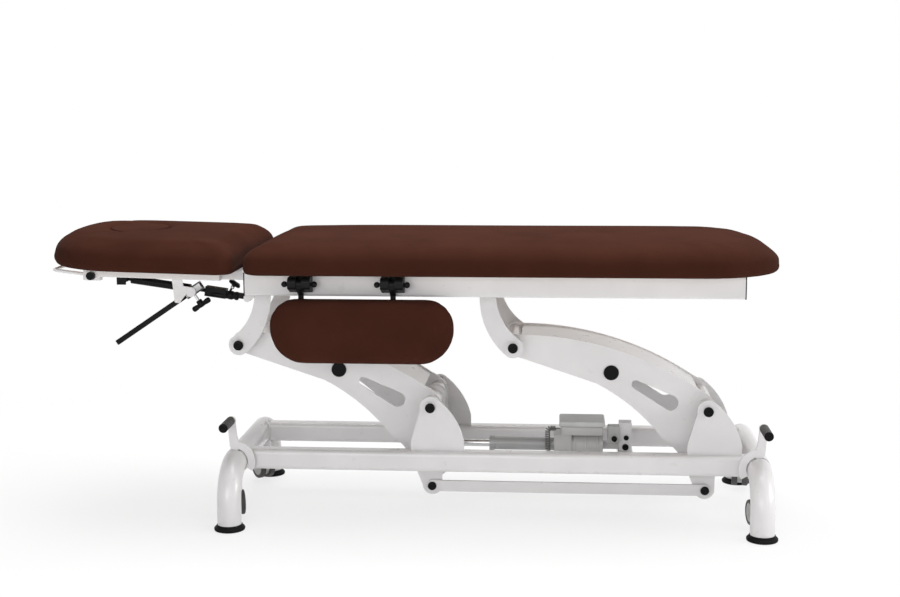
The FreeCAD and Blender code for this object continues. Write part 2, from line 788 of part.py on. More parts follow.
def control_box():
    box_low = S.ram_height + S.motor_high / 2 + S.part_gap
    case_long, case_wide, case_high = 118.0, 92.0, 26.0
    lid_rim = 4.0
    lid_high = 6.0
    case_start = S.motor_start + 18
    main = block("control_case", (case_start, -case_wide / 2, box_low),
                 "%g" % case_long, "%g" % case_wide, "%g" % case_high)
    lid = block("control_lid", (case_start - lid_rim, -case_wide / 2 - lid_rim, box_low + case_high),
                "%g" % (case_long + 2 * lid_rim), "%g" % (case_wide + 2 * lid_rim), "%g" % lid_high)
    mount_face = S.mount_place - S.mount_wide / 2
    terminal_y = -38.0
    plug_long = 10.0
    terminal = block("terminal_box", (mount_face - 32, terminal_y, S.mount_top - 55), "31.7", "30", "50")
    plug = bar("terminal_plug", "8", "%g" % plug_long,
               (mount_face - 14, terminal_y - plug_long, S.mount_top - 40), (0, 1, 0))
    keep("control_box", group("control_box_group", fuse("control_solid", main, lid),
                              fuse("terminal_solid", terminal, plug)))


def curly_lead():
    top = S.ram_height + S.motor_high / 2
    lead_y = -27.5
    ahead = S.motor_start - 18
    start = Vector(S.motor_start + 17.7, lead_y, top + 16)
    knee = Vector(ahead, lead_y, top + 16)
    end = Vector(ahead, lead_y, S.ram_height + 8)
    radius = 15.0
    first = Part.LineSegment(start, knee + Vector(radius, 0, 0))
    half = radius * math.sin(math.radians(45))
    bend = Part.Arc(knee + Vector(radius, 0, 0), knee + Vector(radius - half, 0, -radius + half),
                    knee + Vector(0, 0, -radius))
    low_radius = 16.0
    low = end + Vector(0, 0, -10)
    down = Part.LineSegment(knee + Vector(0, 0, -radius), low)
    low_half = low_radius * math.sin(math.radians(45))
    low_middle = low + Vector(low_radius - low_half, 0, -low_half)
    low_end = low + Vector(low_radius, 0, -low_radius)
    low_bend = Part.Arc(low, low_middle, low_end)
    last = Part.LineSegment(low_end, Vector(S.motor_start - S.part_gap, lead_y, low_end.z))
    path = Part.Wire([edge.toShape() for edge in (first, bend, down, low_bend, last)])
    circle = Part.Wire([Part.Circle(start, Vector(1, 0, 0), 7.0).toShape()])
    lead = doc.addObject("Part::Feature", "curly_lead_tube")
    lead.Shape = path.makePipeShell([circle], True, True)
    keep("curly_lead", lead)


# Top frame: two long rails, three cross rails and the four hangers under them.


def top_rails():
    rails = []
    for name, side in (("near", -1), ("far", 1)):
        rail = hollow_tube("top_rail_" + name, "YZ_Plane", "rail_wide", "rail_high", "rail_wall", "rail_corner",
                           "rail_end - rail_start",
                           (S.rail_wide, S.rail_high, S.rail_wall, S.rail_corner))
        rail.Placement.Base = Vector(S.rail_start, side * (frame_out - S.rail_wide / 2),
                                     S.deck_height - S.rail_high / 2)
        rails.append(rail)
    keep("top_rails", group("top_rails_group", *rails))


def hanger_cross_places():
    """Centres of the three cross rails: over the two hanger pairs and near the foot end."""
    lean = 67.0
    return (top_pivot_x + lean, top_pivot_x + S.pivot_spacing - lean + 4, S.foot_cross_place)


def top_cross_rails():
    rails = []
    for number, place in enumerate(hanger_cross_places()):
        rail = hollow_tube("cross_rail_%d" % number, "XZ_Plane", "cross_wide", "rail_high", "rail_wall",
                           "rail_corner", "frame_width - 2 * rail_wide - 2 * part_gap",
                           (S.cross_wide, S.rail_high, S.rail_wall, S.rail_corner))
        rail.Placement.Base = Vector(place, frame_in - S.part_gap, S.deck_height - S.rail_high / 2)
        rails.append(rail)
    keep("top_cross_rails", group("cross_rail_group", *rails))


def hanger(name, side):
    """A curved plate from the frame down to a top pivot; side is the way its foot bends."""
    top = frame_bottom - top_pivot_height
    eye = S.hanger_eye
    lean = side * 1.0
    return plate(name, (lean * 46, top), [
        (lean * 33, 0.56 * top, lean * -eye * 0.78, eye * 0.63),
        (lean * -eye * 0.78, -eye * 0.63, lean * eye * 0.6, -eye * 0.8),
        (lean * 71, 0.34 * top, lean * 88, top),
        (lean * 46, top),
    ], "hanger_thick", [((0, 0), "axle_radius + part_gap / 6")])


def hangers():
    copies = []
    for end, place, lean in (("head", top_pivot_x, 1), ("foot", top_pivot_x + S.pivot_spacing, -1)):
        shape = hanger("hanger_" + end, lean)
        for side in (-1, 1):
            copies.append(moved("hanger_%s_%s" % (end, "near" if side < 0 else "far"), shape,
                                (place, side * S.hanger_y, top_pivot_height)))
    keep("hangers", group("hangers_group", *copies))


def rail_end_caps():
    caps = []
    height = S.deck_height - S.rail_high
    for end, start in (("head", S.rail_start - S.cap_thick), ("foot", S.rail_end)):
        cap = block("rail_cap_" + end, (start, -frame_out, height), "cap_thick", "rail_wide", "rail_high")
        inside = S.rail_start if end == "head" else S.rail_end - 12
        plug = block("rail_cap_plug_" + end,
                     (inside, -frame_out + S.rail_wall + S.part_gap, height + S.rail_wall + S.part_gap),
                     "12", "rail_wide - 2 * rail_wall - 2 * part_gap", "rail_high - 2 * rail_wall - 2 * part_gap")
        edges = doc.addObject("Part::Fillet", "rail_cap_round_" + end)
        doc.recompute()
        edges.Base = plug
        edges.Edges = [(number, 3.5, 3.5) for number in long_edges(plug.Shape)]
        near = fuse("rail_cap_near_" + end, cap, edges)
        caps.extend([near, across("rail_cap_far_" + end, near)])
    keep("rail_end_caps", group("rail_cap_group", *caps))


def long_edges(shape):
    """Numbers of a box's edges that run along X."""
    numbers = []
    for number, edge in enumerate(shape.Edges, start=1):
        span = edge.Vertexes[0].Point - edge.Vertexes[-1].Point
        if abs(span.x) > abs(span.y) + abs(span.z):
            numbers.append(number)
    return numbers


# Boards and pads of the two sections. The pads wrap down over the boards' edges.


def bed_outline(start, end, inset, start_corner, end_corner):
    """Start point and steps round a section, from its low-X end to its high-X end."""
    low = start + inset
    high = end - inset
    wide = half_width - inset
    first = max(start_corner - inset, 8.0)
    last = max(end_corner - inset, 8.0)
    cut_first = first * (1 - math.sqrt(0.5))
    cut_last = last * (1 - math.sqrt(0.5))
    return (low + first, -wide), [
        (high - last, -wide),
        (high - cut_last, -wide + cut_last, high, -wide + last),
        (high, wide - last),
        (high - cut_last, wide - cut_last, high - last, wide),
        (low + first, wide),
        (low + cut_first, wide - cut_first, low, wide - first),
        (low, -wide + first),
        (low + cut_first, -wide + cut_first, low + first, -wide),
    ]


def oval(sketch, centre_x, half_long, half_wide):
    """A closed oval across the table: two side arcs and two end arcs through its axes."""
    corner_x = half_long * 0.72
    corner_y = half_wide * 0.72
    trace(sketch, (centre_x - corner_x, -corner_y), [
        (centre_x, -half_wide, centre_x + corner_x, -corner_y),
        (centre_x + half_long, 0, centre_x + corner_x, corner_y),
        (centre_x, half_wide, centre_x - corner_x, corner_y),
        (centre_x - half_long, 0, centre_x - corner_x, -corner_y),
    ])


def section(prefix, start, end, start_corner, end_corner, face_hole, lean):
    board = new_body(prefix + "_board_body")
    board_sketch = sketch_in(board, "XY_Plane", prefix + "_board_outline", S.deck_height)
    begin, steps = bed_outline(start, end, S.board_inset, start_corner, end_corner)
    trace(board_sketch, begin, steps)
    if face_hole:
        oval(board_sketch, S.face_hole_place, S.face_hole_long / 2 + 6, S.face_hole_wide / 2 + 6)
    pad(board, board_sketch, "board_thick")
    keep(prefix + "_board", board, lean)
    cushion = new_body(prefix + "_pad_body")
    outline = sketch_in(cushion, "XY_Plane", prefix + "_pad_outline", S.deck_height)
    begin, steps = bed_outline(start, end, 0, start_corner, end_corner)
    trace(outline, begin, steps)
    if face_hole:
        oval(outline, S.face_hole_place, S.face_hole_long / 2, S.face_hole_wide / 2)
    pad(cushion, outline, "pad_thick")
    recess = sketch_in(cushion, "XY_Plane", prefix + "_pad_recess", S.deck_height)
    begin, steps = bed_outline(start, end, S.board_inset - S.part_gap, start_corner, end_corner)
    trace(recess, begin, steps)
    if face_hole:
        oval(recess, S.face_hole_place, S.face_hole_long / 2 + 6 - S.part_gap, S.face_hole_wide / 2 + 6 - S.part_gap)
    doc.recompute()
    full = cushion.Shape.Volume
    under = pocket(cushion, recess, "board_thick + part_gap", reverse=True)
    doc.recompute()
    if cushion.Shape.Volume > full - 1000:
        raise RuntimeError(prefix + " pad recess cuts nothing")
    below = under
    for name, size, level in (("top", "pad_edge", S.deck_height + S.pad_thick), ("hem", "pad_hem", S.deck_height)):
        edges = outer_edges(below.Shape, level, start, end)
        rounding = cushion.newObject("PartDesign::Fillet", "%s_pad_%s" % (prefix, name))
        rounding.Base = (below, edges)
        bind(rounding, Radius=size)
        doc.recompute()
        below = rounding
    keep(prefix + "_pad", cushion, lean)


def outer_edges(shape, level, start, end):
    """Names of the edges that lie at one level on the outer rim of a section."""
    names = []
    for number, edge in enumerate(shape.Edges, start=1):
        box = edge.BoundBox
        flat = abs(box.ZMin - level) < 0.01 and abs(box.ZMax - level) < 0.01
        if flat and touches_rim(edge, start, end):
            names.append("Edge%d" % number)
    return names


def touches_rim(edge, start, end):
    """True for an edge with an end on one of the four outer sides of a section."""
    for vertex in edge.Vertexes:
        point = vertex.Point
        if abs(abs(point.y) - half_width) < 0.01:
            return True
        if abs(point.x - start) < 0.01 or abs(point.x - end) < 0.01:
            return True
    return False


# Face plug: an oval cushion that fills the face hole down through the board.


def face_plug():
    plug = new_body("face_plug_body")
    outline = sketch_in(plug, "XY_Plane", "face_plug_outline", S.deck_height + S.plug_rise)
    oval(outline, S.face_hole_place, S.face_hole_long / 2 - S.part_gap, S.face_hole_wide / 2 - S.part_gap)
    pad(plug, outline, "pad_thick - plug_rise")
    keep("face_plug", plug, lean=True)


# Head section frame: two side tubes with hinge plates and roll-holder blocks, two cross tubes.


def head_rail(label, side):
    centre_y = side * (S.head_frame_width - S.head_tube) / 2
    centre_z = S.deck_height - S.head_tube / 2
    tube = hollow_tube(label + "_tube", "YZ_Plane", "head_tube", "head_tube", "head_tube_wall", "3",
                       "head_rail_end - head_rail_start",
                       (S.head_tube, S.head_tube, S.head_tube_wall, 3.0))
    tube.Placement.Base = Vector(S.head_rail_start, centre_y, centre_z)
    inner_y = S.head_frame_width / 2 - S.head_tube
    cap = block(label + "_cap", (S.head_rail_end, centre_y - S.head_tube / 2, S.deck_height - S.head_tube),
                "5", "head_tube", "head_tube")
    eye = S.hinge_eye
    plate_start = S.head_rail_end - 60
    top = S.deck_height - 1 - S.hinge_height
    hinge_plate = plate(label + "_hinge", (plate_start - S.seam_place, top), [
        (-20, top),
        (0, eye),
        (eye, 0, 0, -eye),
        (plate_start - S.seam_place, -eye),
        (plate_start - S.seam_place, top),
    ], "hinge_plate_thick", [((0, 0), "hinge_pin_radius + running_fit")])
    hinge_plate.Placement.Base = Vector(S.seam_place, side * (inner_y - S.hinge_plate_thick / 2), S.hinge_height)
    block_low = S.deck_height - 35
    holder = block(label + "_holder", (S.head_rail_start - S.roll_block_long, centre_y - S.head_tube / 2, block_low),
                   "roll_block_long", "head_tube", "30")
    slope = math.radians(S.roll_bar_slope)
    direction = (-math.cos(slope), 0, math.sin(slope))
    middle = S.head_rail_start - S.roll_block_long / 2
    start = (middle + 60 * math.cos(slope), centre_y, roll_leg_height() - 60 * math.sin(slope))
    bore = bar(label + "_holder_bore", "roll_bar_radius + running_fit", "120", start, direction)
    solid = fuse(label + "_solid", tube, cap, hinge_plate, holder)
    tools = [bore]
    if side < 0:
        tools.append(bar(label + "_knob_bore", "4 + running_fit", "head_tube / 2 + 2",
                         (middle, centre_y - S.head_tube / 2 - 1, roll_leg_height()), (0, 1, 0)))
    keep(label, cut(label, solid, *tools), lean=True)


def roll_leg_height():
    """Height of the roll bar's leg at the middle of its block."""
    return S.deck_height - 22


def head_cross_rails():
    inner_y = S.head_frame_width / 2 - S.head_tube - S.part_gap
    rails = []
    behind_hole = S.face_hole_place + S.face_hole_long / 2 + 20
    for number, place in enumerate((behind_hole, S.head_rail_end + 8)):
        shorter = S.hinge_plate_thick + 0.3 if number else 0.0
        rail = hollow_tube("head_cross_%d" % number, "XZ_Plane", "head_tube", "head_tube", "head_tube_wall", "3",
                           "%g" % (2 * (inner_y - shorter)),
                           (S.head_tube, S.head_tube, S.head_tube_wall, 3.0))
        rail.Placement.Base = Vector(place, inner_y - shorter, S.deck_height - S.head_tube / 2)
        rails.append(rail)
    keep("head_cross_rails", group("head_cross_group", *rails), lean=True)


def head_hinge_lugs():
    """Lugs on the main frame's first cross rail, each with a hinge pin."""
    plate_out = S.head_frame_width / 2 - S.head_tube - S.hinge_plate_thick - S.part_gap
    eye = S.hinge_eye
    face = hanger_cross_places()[0] - S.cross_wide / 2 - S.part_gap
    reach = face - S.seam_place
    half = S.hinge_plate_thick / 2
    lug = plate("hinge_lug", (0, eye), [
        (-eye, 0, 0, -eye),
        (reach, -eye),
        (reach, eye),
        (0, eye),
    ], "hinge_plate_thick")
    lug.Placement.Base = Vector(S.seam_place, -plate_out + half, S.hinge_height)
    pin = bar("hinge_pin", "hinge_pin_radius", "2 * hinge_plate_thick + 4",
              (S.seam_place, -plate_out - S.hinge_plate_thick - 2, S.hinge_height), (0, 1, 0))
    near = fuse("hinge_lug_near", lug, pin)
    keep("head_hinge_lugs", group("hinge_lug_pair", near, across("hinge_lug_far", near), spring_clevis(face)))


# Gas spring under the head section, from a bracket on its near rail to a clevis on the main frame.


def spring_line():
    """Both eyes of the gas spring and the way along it; the slack eye rides a little high at rest."""
    head = Vector(S.spring_head_x, S.spring_y, S.spring_head_height)
    foot = Vector(S.spring_foot_x, S.spring_y, S.spring_foot_height + S.spring_eye_rise)
    return head, foot, (foot - head).normalize()


def spring_clevis(face):
    """Two cheeks hung from the first cross rail, with the pin that carries the gas spring's eye."""
    cheek_y = 11.0
    reach = face - S.spring_foot_x
    cheek = plate("clevis_cheek", (0, 11), [
        (-11, 0, 0, -11),
        (reach, 2),
        (reach, 40),
        (reach - 12, 40),
        (0, 11),
    ], "5")
    near = moved("clevis_near", cheek, (S.spring_foot_x, S.spring_y - cheek_y, S.spring_foot_height))
    far = moved("clevis_far", cheek, (S.spring_foot_x, S.spring_y + cheek_y, S.spring_foot_height))
    pin = bar("clevis_pin", "spring_pin_radius", "30",
              (S.spring_foot_x, S.spring_y - 15, S.spring_foot_height), (0, 1, 0))
    bridge = block("clevis_bridge", (face - 12, S.spring_y - cheek_y - 2.5, S.spring_foot_height + 28),
                   "12", "27", "12")
    return fuse("clevis", near, far, pin, bridge)


def gas_spring():
    head, foot, way = spring_line()
    cylinder_end = 159.0
    length = (foot - head).Length
    barrel_start = head + way * 14
    barrel = bar("spring_barrel", "spring_radius", "%g" % (length - cylinder_end - 14),
                 tuple(barrel_start), tuple(way))
    neck = bar("spring_neck", "spring_rod_radius", "20", tuple(head), tuple(way))
    eye = bar("spring_head_eye", "8", "12", (head.x, head.y - 6, head.z), (0, 1, 0))
    bore = bar("spring_barrel_bore", "spring_rod_radius + 2 * running_fit", "110",
               tuple(foot - way * (cylinder_end - 1)), tuple(way * -1))
    arm_length = S.head_frame_width / 2 - S.head_tube - S.part_gap + S.spring_y
    stud = bar("spring_stud", "5", "%g" % arm_length, (head.x, head.y - arm_length, head.z), (0, 1, 0))
    ear = block("spring_ear", (head.x - 12, head.y - arm_length, head.z - 10), "24", "5", "42")
    keep("gas_cylinder", cut("gas_cylinder", fuse("gas_cylinder_solid", barrel, neck, eye, stud, ear), bore))
    rod_start = foot - way * (cylinder_end + 60)
    rod = bar("spring_rod_bar", "spring_rod_radius", "%g" % (cylinder_end + 60 - 100), tuple(rod_start), tuple(way))
    turn = Rotation(Vector(1, 0, 0), way)
    release = block("release_case", (0, 0, 0), "57", "26", "26")
    release.Placement = Placement(foot - way * 119 + Vector(0, -13, -13), turn)
    fork = block("release_fork", (0, 0, 0), "62", "14", "14")
    fork.Placement = Placement(foot - way * 64 + Vector(0, -7, -7), turn)
    eye_round = bar("release_eye", "11", "14", (foot.x, foot.y - 7, foot.z), (0, 1, 0))
    slack = bar("release_bore", "spring_pin_radius + spring_eye_slack", "20",
                (foot.x, foot.y - 10, foot.z), (0, 1, 0))
    knob_foot, knob_way = spring_knob_line()
    knob_bore = bar("spring_knob_bore", "3 + running_fit", "12", tuple(knob_foot - knob_way), tuple(knob_way))
    keep("gas_rod", cut("gas_rod", fuse("gas_rod_solid", rod, release, fork, eye_round), slack, knob_bore))


# Release lever: a square bar held in a pivoted sleeve with a tee screw, under the head section.


def lever_frame():
    """Centre of the sleeve, the way down the bar and the way square to it."""
    slope = math.radians(S.lever_bar_slope)
    strip_face = S.head_frame_width / 2 - S.head_tube - S.part_gap
    centre = Vector(S.lever_pivot_x, -(strip_face - 5 - S.part_gap - S.sleeve_side / 2), S.lever_pivot_height)
    down = Vector(-math.cos(slope), 0, -math.sin(slope))
    square = Vector(math.sin(slope), 0, -math.cos(slope))
    return centre, down, square


def lever_box(name, centre, down, length, side, before):
    """A square bar along the lever from a distance before the sleeve's centre."""
    solid = block(name, (0, 0, 0), length, side, side)
    turn = Rotation(Vector(1, 0, 0), down)
    half = number_of(side) / 2
    corner = centre - down * before + turn.multVec(Vector(0, -half, -half))
    solid.Placement = Placement(corner, turn)
    return solid


def number_of(word):
    return SIZES[word.split(" ")[0]] + (2 * SIZES["running_fit"] if "running" in word else 0)


def release_lever():
    centre, down, square = lever_frame()
    strip_face = -(S.head_frame_width / 2 - S.head_tube - S.part_gap)
    bracket = plate("lever_strip", (-52, 56), [
        (-28, 56),
        (-20, 16),
        (0, 13),
        (11, 8, 13, 0),
        (0, -13, -12, -5),
        (-32, -30),
        (-44, -28),
        (-52, 56),
    ], "5")
    bracket.Placement.Base = Vector(centre.x, strip_face + 2.5, centre.z)
    pin = bar("lever_pin", "5", "7", (centre.x, strip_face + 2, centre.z), (0, 1, 0))
    keep("lever_bracket", fuse("lever_bracket", bracket, pin))
    sleeve = lever_box("lever_sleeve_block", centre, down, "sleeve_long", "sleeve_side", S.sleeve_long / 2)
    hollow = lever_box("lever_hollow", centre, down, "sleeve_long", "lever_bar_side + 2 * running_fit",
                       S.sleeve_long / 2)
    screw_bore = bar("lever_screw_bore", "4 + running_fit", "sleeve_side", tuple(centre), tuple(square))
    pin_bore = bar("lever_pin_bore", "5 + running_fit", "4.8",
                   (centre.x, centre.y - S.sleeve_side / 2 - 0.1, centre.z), (0, 1, 0))
    keep("lever_sleeve", cut("lever_sleeve_open", sleeve, hollow, screw_bore, pin_bore))
    rod = lever_box("lever_rod", centre, down, "lever_bar_below + lever_bar_above", "lever_bar_side",
                    S.lever_bar_above)
    keep("release_bar", rod)
    stem_start = centre + square * (S.lever_bar_side / 2 + 0.2)
    stem = bar("tee_stem", "4", "36", tuple(stem_start), tuple(square))
    tee_drop = 43.0
    tee_long = 54.0
    cross_start = centre + square * tee_drop - down * (tee_long / 2)
    cross = bar("tee_cross", "4.5", "%g" % tee_long, tuple(cross_start), tuple(down))
    keep("tee_knob", fuse("tee_knob", stem, cross))


def spring_knob_line():
    """Foot of the small knob's stem, in its bore in the spring's fork, and the way up it."""
    head, end, along = spring_line()
    way = Vector(0.566, 0, 0.824).normalize()
    return end - along * 56 + way * 3, way


def spring_knob():
    """A small round knob on a stem above the gas spring's eye."""
    foot, way = spring_knob_line()
    stem = bar("spring_knob_stem", "3", "28", tuple(foot), tuple(way))
    cap = bar("spring_knob_cap", "8", "9", tuple(foot + way * 26), tuple(way))
    keep("spring_knob", fuse("spring_knob_whole", stem, cap))


# Paper roll holder: a U of round bar that slides in two blocks, with a clamp knob.


def paper_roll_bar():
    slope = math.radians(S.roll_bar_slope)
    centre_y = (S.head_frame_width - S.head_tube) / 2
    middle = S.head_rail_start - S.roll_block_long / 2
    leg_height = roll_leg_height()

    def on_leg(x, side):
        return Vector(x, side * centre_y, leg_height + (middle - x) * math.tan(slope))

    bend = 14.0
    inner_x = middle + S.roll_block_long / 2 - 4
    near_start = on_leg(inner_x, -1)
    far_start = on_leg(inner_x, 1)
    near_turn = on_leg(S.roll_bar_place + bend, -1)
    far_turn = on_leg(S.roll_bar_place + bend, 1)
    near_corner = on_leg(S.roll_bar_place, -1)
    far_corner = on_leg(S.roll_bar_place, 1)
    near_cross = near_corner + Vector(0, bend, 0)
    far_cross = far_corner - Vector(0, bend, 0)
    inset = bend * (1 - math.sqrt(0.5))
    near_middle = on_leg(S.roll_bar_place + inset, -1) + Vector(0, inset, 0)
    far_middle = on_leg(S.roll_bar_place + inset, 1) - Vector(0, inset, 0)
    path = Part.Wire([
        Part.LineSegment(near_start, near_turn).toShape(),
        Part.Arc(near_turn, near_middle, near_cross).toShape(),
        Part.LineSegment(near_cross, far_cross).toShape(),
        Part.Arc(far_cross, far_middle, far_turn).toShape(),
        Part.LineSegment(far_turn, far_start).toShape(),
    ])
    way = (near_turn - near_start).normalize()
    circle = Part.Wire([Part.Circle(near_start, way, S.roll_bar_radius).toShape()])
    roll = doc.addObject("Part::Feature", "roll_bar_bent")
    roll.Shape = path.makePipeShell([circle], True, True)
    keep("paper_roll_bar", roll, lean=True)


def roll_knob():
    centre_y = -(S.head_frame_width - S.head_tube) / 2
    middle = S.head_rail_start - S.roll_block_long / 2
    outer = -S.head_frame_width / 2
    stem_end = centre_y - S.roll_bar_radius - 0.3
    stem = bar("roll_knob_stem", "4", "%g" % (stem_end - outer + 6),
               (middle, outer - 6, roll_leg_height()), (0, 1, 0))
    knob = bar("roll_knob_cap", "11", "12", (middle, outer - 12 - S.part_gap, roll_leg_height()), (0, 1, 0))
    keep("roll_knob", fuse("roll_knob_solid", stem, knob), lean=True)


# Armrest: a pad on a board that hangs from two clamps on the near rail.


def armrest_outline(inset):
    """Start point and steps round the armrest, whose low corners are wider than its top ones."""
    wide = S.armrest_long / 2 - inset
    high = S.armrest_high / 2 - inset
    top = S.armrest_corner - inset
    low = S.armrest_low_corner - inset
    cut_top = top * (1 - math.sqrt(0.5))
    cut_low = low * (1 - math.sqrt(0.5))
    return (-wide + low, -high), [
        (wide - low, -high),
        (wide - cut_low, -high + cut_low, wide, -high + low),
        (wide, high - top),
        (wide - cut_top, high - cut_top, wide - top, high),
        (-wide + top, high),
        (-wide + cut_top, high - cut_top, -wide, high - top),
        (-wide, -high + low),
        (-wide + cut_low, -high + cut_low, -wide + low, -high),
    ]


def armrest():
    low = S.armrest_top - S.armrest_high
    middle_x = S.armrest_start + S.armrest_long / 2
    middle_z = S.armrest_top - S.armrest_high / 2
    cushion = new_body("armrest_cushion")
    face = sketch_in(cushion, "XZ_Plane", "armrest_face")
    begin, steps = armrest_outline(0)
    trace(face, begin, steps)
    foam = pad(cushion, face, "armrest_thick")
    doc.recompute()
    front = [number for number, side in enumerate(foam.Shape.Faces, start=1)
             if abs(side.CenterOfMass.y + S.armrest_thick) < 0.1]
    rounding = cushion.newObject("PartDesign::Fillet", "armrest_rounding")
    rounding.Base = (foam, ["Face%d" % number for number in front])
    bind(rounding, Radius="armrest_edge")
    cushion.Placement.Base = Vector(middle_x, -S.armrest_face + S.armrest_thick, middle_z)
    keep("armrest_pad", cushion)
    back = -S.armrest_face + S.armrest_thick + S.part_gap
    board = new_body("armrest_panel")
    panel = sketch_in(board, "XZ_Plane", "armrest_panel_face")
    begin, steps = armrest_outline(12.0)
    trace(panel, begin, steps)
    pad(board, panel, "armrest_board_thick", reverse=True)
    board.Placement.Base = Vector(middle_x, back, middle_z)
    parts = [board]
    link_wide = 14.0
    pin_y = -S.armrest_pin_y
    pin_z = S.armrest_pin_height
    strip_y = back + S.armrest_board_thick
    for name, clamp_x in (("head", S.clamp_near_x), ("foot", S.clamp_far_x)):
        link = new_body("armrest_link_" + name)
        side = sketch_in(link, "YZ_Plane", "armrest_link_side_" + name)
        trace(side, (pin_y - 11, pin_z), [
            (pin_y, pin_z + 11, pin_y + 11, pin_z),
            (pin_y + 10, pin_z - 12),
            (strip_y + 5, S.armrest_top + 8),
            (strip_y + 5, low + 40),
            (strip_y - 1, low + 40),
            (strip_y - 1, S.armrest_top + 4),
            (pin_y - 8, pin_z - 12),
            (pin_y - 11, pin_z),
        ])
        ring(side, (pin_y, pin_z), "armrest_pin_radius + running_fit")
        pad(link, side, "%g" % link_wide, symmetric=True)
        link.Placement.Base = Vector(clamp_x, 0, 0)
        parts.append(link)
    keep("armrest_board", fuse("armrest_frame", *parts))


def armrest_clamps():
    clamps = []
    for name, clamp_x in (("head", S.clamp_near_x), ("foot", S.clamp_far_x)):
        start = clamp_x - S.clamp_wide / 2
        body = new_body("clamp_" + name)
        side = sketch_in(body, "YZ_Plane", "clamp_side_" + name)
        rail_face = -frame_out - S.part_gap
        outer = -S.armrest_pin_y - 13
        height = S.armrest_pin_height
        trace(side, (rail_face, height - 24), [
            (rail_face, height + 18),
            (outer + 13, height + 18),
            (outer + 4, height + 14, outer, height + 5),
            (outer, height - 5),
            (outer + 4, height - 11, outer + 12, height - 14),
            (rail_face - 10, height - 24),
            (rail_face, height - 24),
        ])
        pad(body, side, "clamp_wide")
        body.Placement.Base = Vector(start, 0, 0)
        gap_wide = 15.0
        gap = block("clamp_gap_" + name, (clamp_x - gap_wide / 2, outer - 2, height - 30),
                    "%g" % gap_wide, "%g" % (rail_face - 8 - outer), "60")
        pin_half = 36.0
        pin = bar("clamp_pin_" + name, "armrest_pin_radius", "%g" % (2 * pin_half),
                  (clamp_x - pin_half, -S.armrest_pin_y, height), (1, 0, 0))
        ball_head = ball("clamp_ball_head_" + name, "armrest_pin_radius + 3",
                         (clamp_x - pin_half - 3, -S.armrest_pin_y, height))
        ball_foot = ball("clamp_ball_foot_" + name, "armrest_pin_radius + 3",
                         (clamp_x + pin_half + 3, -S.armrest_pin_y, height))
        clamps.append(fuse("clamp_whole_" + name, cut("clamp_open_" + name, body, gap), pin, ball_head, ball_foot))
    keep("armrest_clamps", group("clamp_group", *clamps))


# Castors: plungers that slide in the arch sockets, each with a swivelling twin wheel.


def castor_parts(prefix, arch_x, outward):
    plungers = []
    top_plate = 2 * S.castor_radius + S.castor_lift + 16
    for side, swivel in ((-1, 20), (1, 40)) if outward < 0 else ((-1, 8), (1, -6)):
        name = "%s_%s" % (prefix, "near" if side < 0 else "far")
        place = Vector(arch_x, side * S.castor_y, 0)
        turn = Placement(place, Rotation(Vector(0, 0, 1), swivel))
        stem = bar("plunger_" + name, "plunger_radius", "150 - %g" % (top_plate + 0.3),
                   (place.x, place.y, top_plate + 0.3), (0, 0, 1))
        bore = bar("plunger_bore_" + name, "5 + running_fit", "32", (place.x, place.y, top_plate), (0, 0, 1))
        plungers.append(cut("plunger_part_" + name, stem, bore))
        keep("castor_fork_" + name, castor_fork(name, top_plate, turn))
        keep("castor_wheel_" + name, castor_wheel(name, turn))
    keep(prefix + "_castor_plungers", group(prefix + "_plunger_group", *plungers))


def castor_fork(name, top_plate, turn):
    axle_height = S.castor_lift + S.castor_radius
    half = S.castor_gap / 2 - S.part_gap - 0.3
    web = bar("fork_web_" + name, "castor_radius - 8", "%g" % (2 * half),
              (-half, S.castor_trail, axle_height), (1, 0, 0))
    boss = bar("fork_boss_" + name, "16", "13", (0, 0, top_plate - 13), (0, 0, 1))
    stem = bar("fork_stem_" + name, "5", "28", (0, 0, top_plate - 1), (0, 0, 1))
    neck = block("fork_neck_" + name, (-half, -12, axle_height + 8), "%g" % (2 * half), "34",
                 "%g" % (top_plate - 13 - axle_height - 7))
    bore = bar("fork_bore_" + name, "4 + running_fit", "40", (-20, S.castor_trail, axle_height), (1, 0, 0))
    fork = cut("fork_whole_" + name, fuse("fork_solid_" + name, web, boss, stem, neck), bore)
    fork.Placement = turn
    return fork


def castor_wheel(name, turn):
    axle_height = S.castor_lift + S.castor_radius
    body = new_body("wheel_disc_" + name)
    profile = sketch_in(body, "XZ_Plane", "wheel_profile_" + name)
    inner = S.castor_gap / 2
    outer = inner + S.castor_wheel_wide
    rim = S.castor_radius
    trace(profile, (inner, 3.9), [
        (inner, rim - 3),
        (inner + 0.9, rim - 0.9, inner + 3, rim),
        (outer - 4, rim),
        (outer - 1.2, rim - 1.2, outer, rim - 4),
        (outer - 1.5, rim - 9),
        (outer - 4, 12),
        (outer - 1, 9),
        (outer - 1, 3.9),
        (inner, 3.9),
    ])
    turned = body.newObject("PartDesign::Revolution", "wheel_turn_" + name)
    turned.Profile = profile
    turned.ReferenceAxis = (profile, ["H_Axis"])
    turned.Angle = 360
    other = doc.addObject("Part::Mirroring", "wheel_other_" + name)
    other.Source = body
    other.Normal = Vector(1, 0, 0)
    axle = bar("wheel_axle_" + name, "4", "castor_gap + 2 * castor_wheel_wide - 2",
               (-S.castor_gap / 2 - S.castor_wheel_wide + 1, 0, 0), (1, 0, 0))
    wheel = fuse("wheel_whole_" + name, body, other, axle)
    wheel.Placement = turn.multiply(Placement(Vector(0, S.castor_trail, axle_height), Rotation()))
    return wheel


# Pedals: an upright lever that runs on as a hook round the arch tube, with a tongue
# through the slot in the arch to a shaft inside the tube.


